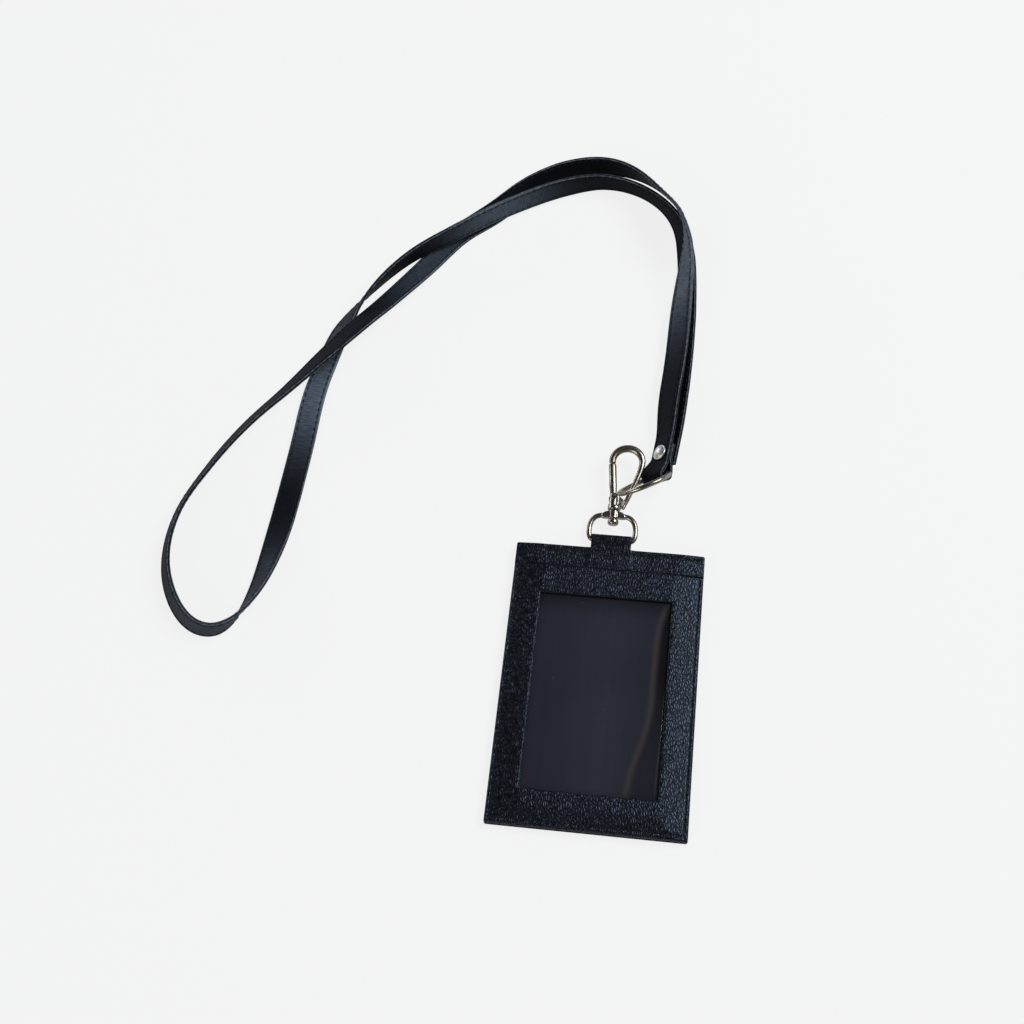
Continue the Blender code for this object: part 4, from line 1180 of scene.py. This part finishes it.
def mouth_band():
    """Leather strip above the pocket's mouth, open underneath where the tab is gripped."""
    def top(x, y):
        outer = side_distance(x, y, (-HALF_WIDTH, BAND_Y), (HALF_WIDTH, HALF_HEIGHT))
        side = np.minimum(x + HALF_WIDTH, HALF_WIDTH - x)
        fall = BAND_FALL * np.clip(1 - side / BAND_FALL_REACH, 0.0, 1.0) ** 1.3
        dip = row_dip(y - ROW_HIGH, x - ROW_LEFT) * span_mask(x, ROW_LEFT, ROW_RIGHT)
        over_tab = TAB_RISE * span_mask(x, -TAB_HALF_WIDTH, TAB_HALF_WIDTH, 1.6 * MM)
        over_tab = over_tab * np.clip((y - TAB_ROOT) / (2.0 * MM) + 0.6, 0.0, 1.0)
        return BAND_TOP + over_tab - fall - dropped(outer) - dip + rolling(x, y, *LEATHER_ROLL, 5.0)

    def bottom(x, y):
        channel = (np.abs(x) < TAB_HALF_WIDTH + 0.2 * MM) & (y > TAB_ROOT - 0.3 * MM)
        return np.where(channel, 3.4 * MM, BACK_TOP)

    channel_x = [side * (TAB_HALF_WIDTH + step * MM) for side in (-1, 1) for step in (0.18, 0.22)]
    extra_x = channel_x + hole_steps(ROW_LEFT, -HALF_WIDTH, HALF_WIDTH)
    extra_x += list(np.arange(-10.0 * MM, 10.0 * MM, 0.4 * MM))
    xs = grid_lines(-HALF_WIDTH, HALF_WIDTH, 0.75 * MM, extra_x)
    ys = grid_lines(BAND_Y, HALF_HEIGHT, 0.6 * MM, row_lines(ROW_HIGH))
    return sheet("mouth_band", "top_band", LEATHER, xs, ys, top, bottom)


def spacer_strip():
    """U-shaped strip between front and back, burnished at its outer edge."""
    low, high = (-HALF_WIDTH + WELT_INSET, -HALF_HEIGHT + WELT_INSET), (HALF_WIDTH - WELT_INSET, MOUTH_Y)
    inner = (low[0] + WELT_WIDTH, low[1] + WELT_WIDTH), (high[0] - WELT_WIDTH, high[1] + 1.0 * MM)

    def top(x, y):
        return FRONT_LOW - 0.1 * MM - side_fall(x, y)

    def bottom(x, y):
        return np.full(x.shape, BACK_TOP - 0.05 * MM)

    xs = grid_lines(low[0], high[0], 1.5 * MM, (inner[0][0], inner[1][0]))
    ys = grid_lines(low[1], high[1], 1.5 * MM, (inner[0][1],))
    corners = (low, (high[0], HALF_HEIGHT), CORNER_RADIUS)
    return sheet("spacer_strip", "edge_welt", EDGE, xs, ys, top, bottom, inner, corners)


def ridge_middle(y, spots):
    """Where a ridge's crest lies across the film at each y, on a smooth curve through its spots."""
    curve = smooth_path([(along, across, 0.0) for along, across in spots], 12)
    return np.interp(y, curve[:, 0], curve[:, 1])


def film_marks(mesh):
    """Marks the buckled streaks, which carry a painted sheen, and the shaded right and top edges of the film
    on its points.
    """
    x, y = np.array([vert.co[:2] for vert in mesh.vertices]).T
    streak = np.zeros(len(x))
    for line, rise, width in FILM_RIDGES:
        spots = np.array(line) * MM
        inside = np.clip((y - spots[0, 0]) / (6.0 * MM) + 0.5, 0, 1)
        inside = inside * np.clip((spots[-1, 0] - y) / (6.0 * MM) + 0.3, 0, 1)
        off = (x - ridge_middle(y, spots)) / (width * 0.62 * MM)
        streak = np.maximum(streak, np.exp(-off ** 2) * inside)
    main_ridge = np.array(FILM_RIDGES[0][0]) * MM
    right_of = np.clip((x - ridge_middle(y, main_ridge)) / (2.2 * MM), 0.0, 1.0)
    shade = np.maximum(right_of * np.clip((y + 46.0 * MM) / (50.0 * MM), 0.35, 1.0),
                       np.clip((y - 27.0 * MM) / (8.0 * MM), 0.0, 1.0) * 0.6)
    mark_points(mesh, "buckle", streak)
    mark_points(mesh, "shade", shade)


def window_sheet():
    """Clear film, bowed a little and ridged where it has buckled beside the window's right edge."""
    def top(x, y):
        edge = side_distance(x, y, WINDOW_LOW, WINDOW_HIGH)
        free = np.clip(edge / (3.0 * MM), 0.0, 1.0)
        bow = FILM_BOW * np.cos(x / FILM_BOW_HALF * math.pi / 2)
        height = FILM_TOP + (bow + rolling(x, y, *FILM_ROLL, 9.0)) * free
        for line, rise, width in FILM_RIDGES:
            spots = np.array(line) * MM
            inside = np.clip(np.minimum(y - spots[0, 0], spots[-1, 0] - y) / (3.0 * MM), 0, 1)
            crest = np.exp(-((x - ridge_middle(y, spots)) / (width * MM)) ** 2)
            lift = rise * MM * crest * inside
            height = height + lift * np.clip(edge / (0.5 * MM), 0.0, 1.0)
        return height

    def bottom(x, y):
        return top(x, y) - FILM_THICK

    xs = grid_lines(FILM_LOW[0], FILM_HIGH[0], 0.6 * MM, np.arange(10.0 * MM, 26.0 * MM, 0.25 * MM))
    ys = grid_lines(FILM_LOW[1], FILM_HIGH[1], 1.2 * MM)
    mesh = slab("window_sheet", xs, ys, top, bottom)
    film_marks(mesh)
    return mesh_piece(mesh, "holder", FILM, "window_film")


def tab_fold():
    """Leather tab: two plies in the band, opened round the eye's bar."""
    pressed = (TAB_THICK + 0.2 * MM) / 2
    start = math.radians(18)
    side = [(y, pressed) for y in np.arange(TAB_ROOT, BAR_PLACE[1] - TAB_FLARE, 0.6 * MM)]
    side += [(BAR_PLACE[1] + TAB_BEND * math.cos(turn), TAB_BEND * math.sin(turn))
             for turn in np.linspace(math.pi / 2 + start, -math.pi / 2 - start, 33)]
    side += [(y, -z) for y, z in side[: len(side) - 33][::-1]]
    rows = smooth_path([(0.0, y, BAR_PLACE[2] + z) for y, z in side], 2)
    across = np.tile((1.0, 0.0, 0.0), (len(rows), 1))
    facing = np.cross(across, unit_rows(np.gradient(rows, axis=0)))
    section = band_section(TAB_HALF_WIDTH, TAB_THICK / 2)
    mesh = band_mesh("tab_fold", rows, across, facing, travelled(rows), section)
    return mesh_piece(mesh, "holder", LEATHER, "hang_tab")


def front_thread(x, y):
    """Place of a thread on the front leather."""
    height = float(front_height(np.array([[x]]), np.array([[y]]))[0, 0])
    return x, y, height - THREAD_SUNK


def holder_stitches():
    """Stitches on the front, the band and the back of the holder."""
    found = []
    up, down = (0.0, 0.0, 1.0), (0.0, 0.0, -1.0)
    ahead, aside = (0.0, 1.0, 0.0), (1.0, 0.0, 0.0)
    for middle in np.arange(ROW_LOW + STITCH_PITCH / 2, HALF_HEIGHT - 2.0 * MM, STITCH_PITCH):
        for row in (ROW_LEFT, ROW_RIGHT):
            if middle < MOUTH_Y - 1.0 * MM:
                found.append((front_thread(row, middle), up, ahead))
            found.append(((row, middle, BACK_THREAD_Z), down, ahead))
    for middle in np.arange(ROW_LEFT + STITCH_PITCH / 2, ROW_RIGHT, STITCH_PITCH):
        found.append((front_thread(middle, ROW_LOW), up, aside))
        found.append(((middle, ROW_LOW, BACK_THREAD_Z), down, aside))
        found.append(((middle, ROW_HIGH, BAND_TOP - 0.22 * MM), up, aside))
        found.append(((middle, ROW_HIGH, BACK_THREAD_Z), down, aside))
    return stitches("holder_stitches", "holder", found, HOLDER_STITCH, 11)


# Metal pieces

def skinned(made, voxel, rounds):
    """Gives an object one even skin and fillets where its parts meet."""
    skin = made.modifiers.new("skin", "REMESH")
    skin.mode = "VOXEL"
    skin.voxel_size = voxel
    soft = made.modifiers.new("fillets", "SMOOTH")
    soft.factor = 0.5
    soft.iterations = rounds
    return made


def cast_copy(node, name, body, finish, voxel, rounds):
    """Cast look of a CAD node: the same shape with its joins filleted and its facets gone."""
    mesh = frame["nodes"][node].data.copy()
    with edited(mesh) as build:
        bmesh.ops.remove_doubles(build, verts=build.verts, dist=1e-6)
    return piece(skinned(linked(name, mesh), voxel, rounds), body, finish, (node,), sharp=70.0)


def fuller_bar(gate):
    """Gate whose bar is a little thicker between its hub and its tip."""
    verts = gate.data.vertices
    places = np.array([vert.co for vert in verts])
    normals = np.array([vert.normal for vert in verts])
    to_clasp = np.array(CLASP.inverted())
    along = places @ to_clasp[1, :3] + to_clasp[1, 3]
    share = np.clip((along - HUB_END) / (3 * MM), 0.0, 1.0) * np.clip((GATE_TIP - along) / MM, 0.0, 1.0)
    verts.foreach_set("co", (places + normals * (BAR_GROWTH * share)[:, None]).ravel())
    gate.data.update()


def turned(name, profile, place, axis, steps=64):
    """Solid of revolution from (radius, height) rows, round one axis of a frame."""
    rows = [(radius * math.cos(turn), radius * math.sin(turn), height)
            for turn in np.linspace(0.0, 2 * math.pi, steps, endpoint=False) for radius, height in profile]
    count = len(profile)
    faces = []
    for i in range(steps):
        other = (i + 1) % steps
        for k in range(count - 1):
            faces.append((i * count + k, other * count + k, other * count + k + 1, i * count + k + 1))
    mesh = mesh_from(name, rows, faces)
    with edited(mesh) as build:
        bmesh.ops.remove_doubles(build, verts=build.verts, dist=1e-7)
        bmesh.ops.dissolve_degenerate(build, edges=build.edges, dist=1e-8)
        bmesh.ops.recalc_face_normals(build, faces=build.faces)
    if axis == "Y":
        place = place @ Matrix.Rotation(-math.pi / 2, 4, "X")
    mesh.transform(place)
    return linked(name, mesh)


def arc(centre, radius, start, stop, steps=8):
    """Points of a round stretch of a profile, angles in degrees."""
    turns = np.radians(np.linspace(start, stop, steps))
    return [(centre[0] + radius * math.cos(turn), centre[1] + radius * math.sin(turn)) for turn in turns]


def wire_tree():
    """Geometry nodes: a round wire swept along a guide line, thicker or thinner by its share."""
    inputs = (("Guide", "Geometry"), ("Radius", "Float"), ("Sides", "Int"), ("Metal", "Material"))
    group, tree, given = node_group("round_wire", inputs, "Wire")
    line = tree.node("GeometryNodeMeshToCurve", None, {"Mesh": given["Guide"]})
    ring = tree.node("GeometryNodeCurvePrimitiveCircle", None,
                     {"Resolution": given["Sides"], "Radius": given["Radius"]})
    tube = tree.node("GeometryNodeCurveToMesh", None,
                     {"Curve": line, "Profile Curve": ring, "Scale": carried(tree, "share", "FLOAT"),
                      "Fill Caps": True})
    return end_group(group, tree, tube, given["Metal"])


WIRES = wire_tree()


def wire(name, points, diameter, finish, shares=None, closed=False, sides=24):
    """Wire object still carrying its geometry nodes."""
    mesh = bpy.data.meshes.new(name)
    edges = [(index, index + 1) for index in range(len(points) - 1)]
    if closed:
        edges.append((len(points) - 1, 0))
    mesh.from_pydata([tuple(place) for place in points], edges, [])
    mark_points(mesh, "share", np.ones(len(points)) if shares is None else shares)
    return grown(name, mesh, WIRES, {"Radius": diameter / 2, "Sides": sides, "Metal": finish})


def wire_piece(name, body, points, diameter, finish, node, closed=False, sides=24):
    """Finished wire of even thickness."""
    made = wire(name, points, diameter, finish, None, closed, sides)
    return piece(made, body, finish, (node,), sharp=50.0)


def plate(name, outline, half_thick, rounding):
    """Flat part in the clasp's plane, its edges rounded."""
    build = bmesh.new()
    corners = [build.verts.new((x, y, -half_thick)) for x, y in outline]
    face = build.faces.new(corners)
    raised = bmesh.ops.extrude_face_region(build, geom=[face])["geom"]
    risen = [part for part in raised if isinstance(part, bmesh.types.BMVert)]
    bmesh.ops.translate(build, vec=(0, 0, 2 * half_thick), verts=risen)
    bmesh.ops.recalc_face_normals(build, faces=build.faces)
    sharp = [edge for edge in build.edges if edge.calc_face_angle(0.0) > math.radians(35)]
    if rounding:
        bmesh.ops.bevel(build, geom=sharp, offset=rounding, segments=4, profile=0.5, affect="EDGES")
    mesh = bpy.data.meshes.new(name)
    build.to_mesh(mesh)
    build.free()
    return linked(name, mesh)


def cast(name, parts, cuts, body, node):
    """One casting: its parts bored and slotted, then fused with fillets where they meet."""
    for part in parts:
        for cut in cuts:
            step = part.modifiers.new("cut", "BOOLEAN")
            step.operation = "DIFFERENCE"
            step.object = cut
    build = bmesh.new()
    for part in parts:
        build.from_mesh(baked(part))
    for cut in cuts:
        bpy.data.objects.remove(cut)
    mesh = bpy.data.meshes.new(name)
    build.to_mesh(mesh)
    build.free()
    made = skinned(linked(name, mesh), CAST_VOXEL, 10)
    made.matrix_world = CLASP
    return piece(made, body, NICKEL, (node,), sharp=70.0)


def barrel(name, radius, low, high, rounding, steps=48):
    """Round part along the clasp's y, its rims rounded."""
    profile = [(0.0, low)] + arc((radius - rounding, low + rounding), rounding, -90, 0, 5)
    profile += arc((radius - rounding, high - rounding), rounding, 0, 90, 5) + [(0.0, high)]
    return turned(name, profile, Matrix.Identity(4), "Y", steps)


def swivel_eye():
    """Wire eye whose ends run into two wings on the barrel that the post turns in."""
    half = smooth_path([(x * EYE_HALF_WIDTH, y * EYE_HEIGHT, 0.0) for x, y in EYE_SHARES], 6)
    line = [(-x, y, z) for x, y, z in half[:0:-1]] + [tuple(place) for place in half]
    parts = [
        wire("eye_line", line, EYE_WIRE, NICKEL),
        plate("wings", [(x * MM, y * MM) for x, y in WING_OUTLINE], WING_HALF_THICK, 0.55 * MM),
        barrel("eye_barrel", BARREL_RADIUS, SOCKET_LOW, SOCKET_HIGH, 0.35 * MM),
    ]
    bore = barrel("post_bore", POST_RADIUS + 0.2 * MM, SOCKET_LOW - MM, SOCKET_HIGH + MM, 0.1 * MM)
    return cast("eye_wire", parts, [bore], "eye", "swivel_eye")


def hook():
    """Collar, two rounded cheeks with the web beside them, and the curved wire."""
    rows = [(x * HOOK_WIDTH, HOOK_FOOT + y * HOOK_LENGTH, 0.0, share)
            for (x, y), share in zip(HOOK_SHARES, HOOK_WIRE_SHARES)]
    path = smooth_path(rows, 8)
    limb = wire("limb", path[:, :3], HOOK_WIRE, NICKEL, path[:, 3])
    limb.scale.z = HOOK_FLATNESS
    rounding = 1.5 * MM
    profile = [(0.0, BASE_Y - 0.2 * MM), (CHEEK_RADIUS, BASE_Y - 0.2 * MM)]
    profile += arc((CHEEK_RADIUS - rounding, CHEEK_TOP - rounding), rounding, 0, 90, 8) + [(0.0, CHEEK_TOP)]
    cheeks = turned("cheeks", profile, Matrix.Identity(4), "Y", 48)
    narrowed = Matrix.Diagonal((0.86, 1.0, 1.0, 1.0))
    cheeks.data.transform(Matrix.Translation((PIVOT[0] + 0.1 * MM, 0.0, 0.0)) @ narrowed)
    web = plate("web", [(x * MM, y * MM) for x, y in WEB_OUTLINE], WEB_HALF_THICK, 0.3 * MM)
    collar = barrel("collar", COLLAR_RADIUS, COLLAR_Y, BASE_Y + 0.1 * MM, 0.45 * MM)
    reach = 4 * HUB_REACH
    slot_outline = [(PIVOT[0] - reach, PIVOT[1] - HUB_REACH), (PIVOT[0] + HUB_REACH, PIVOT[1] - HUB_REACH),
                    (PIVOT[0] + HUB_REACH, PIVOT[1] + reach), (PIVOT[0] - reach, PIVOT[1] + reach)]
    slot = plate("slot", slot_outline, SLOT_HALF, 0.0)
    bore = barrel("post_seat", POST_RADIUS + 0.1 * MM, COLLAR_Y - MM, COLLAR_Y + 1.5 * MM, 0.1 * MM)
    through = [(0.0, -4 * MM), (PIN_RADIUS, -4 * MM), (PIN_RADIUS, 4 * MM), (0.0, 4 * MM)]
    pin_hole = turned("pin_hole", through, Matrix.Translation((*PIVOT, 0.0)), "Z", 24)
    parts = [linked("flat_limb", baked(limb)), cheeks, web, collar]
    return cast("hook", parts, [slot, bore, pin_hole], "hook", "hook_body")


def ring_wire():
    points = [RING @ ring_point(2 * math.pi * step / 144) for step in range(144)]
    return wire_piece("ring_wire", "ring", points, RING_WIRE, NICKEL, "strap_ring", closed=True)


def gate_coil():
    """Torsion spring round the gate's pin."""
    centre = CLASP @ Matrix.Translation((*PIVOT, 0.0))
    points = []
    for step in range(COIL_TURNS * COIL_STEPS + 1):
        turn = 2 * math.pi * step / COIL_STEPS
        height = COIL_LOW + COIL_RISE * step / COIL_STEPS
        points.append(centre @ Vector((COIL_RADIUS * math.cos(turn), COIL_RADIUS * math.sin(turn), height)))
    return wire_piece("gate_coil", "hook", points, COIL_WIRE, SPRING_STEEL, "gate_spring",
                      sides=12)


def post():
    """Swivel post: flattened knob of a head below the barrel, neck up into the collar."""
    under = SOCKET_LOW - 0.25 * MM
    low = under - 2.3 * MM
    rounding = 0.95 * MM
    profile = [(0.0, low)] + arc((POST_HEAD_RADIUS - rounding, low + rounding), rounding, -90, 0, 9)
    profile += arc((POST_HEAD_RADIUS - 0.6 * MM, under - 0.7 * MM), 0.6 * MM, 0, 75, 7)
    profile += [(POST_RADIUS, under), (POST_RADIUS, BASE_Y - 0.1 * MM), (0.0, BASE_Y - 0.1 * MM)]
    return piece(turned("post", profile, CLASP, "Y"), "hook", NICKEL, ("swivel_post",))


def pin():
    """Gate pin with lightly peened ends."""
    centre = CLASP @ Matrix.Translation((*PIVOT, 0.0))
    profile = [(0.0, -PIN_END), (0.45 * MM, -PIN_END + 0.04 * MM), (PIN_RADIUS, -PIN_END + 0.2 * MM)]
    profile += [(radius, -height) for radius, height in profile[::-1]]
    return piece(turned("pin", profile, centre, "Z", 32), "hook", NICKEL, ("gate_pin",))


def rivet():
    """Rivet: domed cap with a rolled rim in front, flat washer and stem behind."""
    low = CAP_SEAT - 0.25 * MM
    rise = 1.7 * MM
    dome_radius = (RIVET_RADIUS ** 2 + rise ** 2) / (2 * rise) * 1.02
    half_angle = math.degrees(math.asin(2.95 * MM / dome_radius))
    profile = [(0.0, low), (RIVET_RADIUS - 0.2 * MM, low), (RIVET_RADIUS, low + 0.15 * MM)]
    profile += arc((RIVET_RADIUS - 0.28 * MM, CAP_SEAT + 0.22 * MM), 0.28 * MM, 0, 100, 7)
    centre_z = CAP_SEAT + rise - dome_radius
    profile += arc((0.0, centre_z), dome_radius, 90 - half_angle, 90, 16)
    cap = piece(turned("cap", profile, STACK, "Z", 72), "strap", RIVET_METAL, ("rivet_cap",), 60.0)
    under = TAIL_HEIGHT - STRAP_THICK / 2
    profile = [(0.0, under - 1.2 * MM)] + arc((2.3 * MM, under - 0.9 * MM), 0.3 * MM, -90, 0, 5)
    profile += [(3.1 * MM, under - 0.35 * MM), (RIVET_RADIUS, under - 0.15 * MM), (RIVET_RADIUS, under)]
    profile += [(1.1 * MM, under + 0.01 * MM), (1.1 * MM, CAP_SEAT + 0.4 * MM), (0.0, CAP_SEAT + 0.4 * MM)]
    foot = turned("rivet_foot", profile, STACK, "Z", 72)
    foot = piece(foot, "strap", RIVET_METAL, ("rivet_post",), 60.0)
    return cap, foot


# Making the object, cords first
strap_course = strap_line(STRAP_PITCH / 4)
strap_places = strap_course[0]
strap = lanyard_strap(strap_course)
loop = strap_loop()
tail = strap_tail()
cap, rivet_foot = rivet()
stitches("strap_stitches", "strap", strap_stitches(strap_course), STRAP_STITCH, 5)
tuple(strap_places[0])
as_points(strap_places)
front_frame()
back_cover()
mouth_band()
spacer_strip()
window_sheet()
tab_fold()
holder_stitches()
node_finish("inner_lining", LINING)
node_finish("stiffener_board", BOARD)
swivel_eye()
hook()
fuller_bar(cast_copy("hook_gate", "gate", "gate", NICKEL, 0.08 * MM, 12))
post()
pin()
gate_coil()
ring_wire()


# Floor, world and lamps

def floor():
    """Pale floor; camera, glossy and transmitted rays see mostly its even colour."""
    mesh = bpy.data.meshes.new("floor")
    corners = [(x, y, FLOOR_Z) for x, y in ((-1, -1), (1, -1), (1, 1), (-1, 1))]
    mesh.from_pydata(corners, [], [(0, 1, 2, 3)])
    mesh.transform(Matrix.Diagonal((FLOOR_REACH, FLOOR_REACH, 1.0, 1.0)))
    made = bpy.data.materials.new("pale_floor")
    made.use_nodes = True
    tree = Tree(made.node_tree)
    made.node_tree.nodes.remove(made.node_tree.nodes["Principled BSDF"])
    camera_ray, glossy_ray, clear_ray = pale_rays(tree)
    even_share = (camera_ray.math("MAXIMUM", clear_ray) * 0.80).math("MAXIMUM", glossy_ray * 0.40)
    matt = tree.node("ShaderNodeBsdfDiffuse", None, {"Color": (0.48, 0.48, 0.48, 1.0)})
    even = tree.node("ShaderNodeEmission", None, {"Color": (1.0, 1.0, 1.0, 1.0), "Strength": 1.035})
    tree.blend_surface(even_share, matt, even)
    mesh.materials.append(made)
    linked("floor", mesh)


def pale_rays(tree):
    """Light path's camera, glossy and transmission rays."""
    return [tree.node("ShaderNodeLightPath", None, None, name)
            for name in ("Is Camera Ray", "Is Glossy Ray", "Is Transmission Ray")]


def studio_world():
    """Pale round the table and dim overhead, as in a studio with its ceiling lights off."""
    world = bpy.data.worlds.new("studio")
    bpy.context.scene.world = world
    world.use_nodes = True
    tree = Tree(world.node_tree)
    place = tree.node("ShaderNodeTexCoord", None, None, "Generated")
    height = tree.node("ShaderNodeSeparateXYZ", None, {0: place}, "Z")
    stops = ((0.0, (0.55, 0.55, 0.55)), (0.12, (0.40, 0.40, 0.40)), (0.36, (0.075, 0.070, 0.066)),
             (1.0, (0.040, 0.037, 0.035)))
    colour = tree.node("ShaderNodeValToRGB", {"stops": stops}, {0: height})
    camera_ray, glossy_ray, clear_ray = pale_rays(tree)
    colour = tree.mix(camera_ray.math("MAXIMUM", clear_ray), colour, (0.90, 0.90, 0.90))
    ground = world.node_tree.nodes["Background"]
    world.node_tree.links.new(colour.socket, ground.inputs["Color"])
    ground.inputs["Strength"].default_value = 1.0


def softbox(name, place, target, size, watts, colour):
    made = bpy.data.lights.new(name, "AREA")
    made.shape = "RECTANGLE"
    made.size, made.size_y = size
    made.energy = watts
    made.color = colour
    shown = linked(name, made)
    shown.location = place
    shown.rotation_euler = (Vector(target) - Vector(place)).to_track_quat("-Z", "Y").to_euler()
    shown.visible_camera = False


floor()
studio_world()
for lamp, values in LAMPS.items():
    softbox(lamp, *values)
bpy.context.scene.view_settings.view_transform = "Standard"
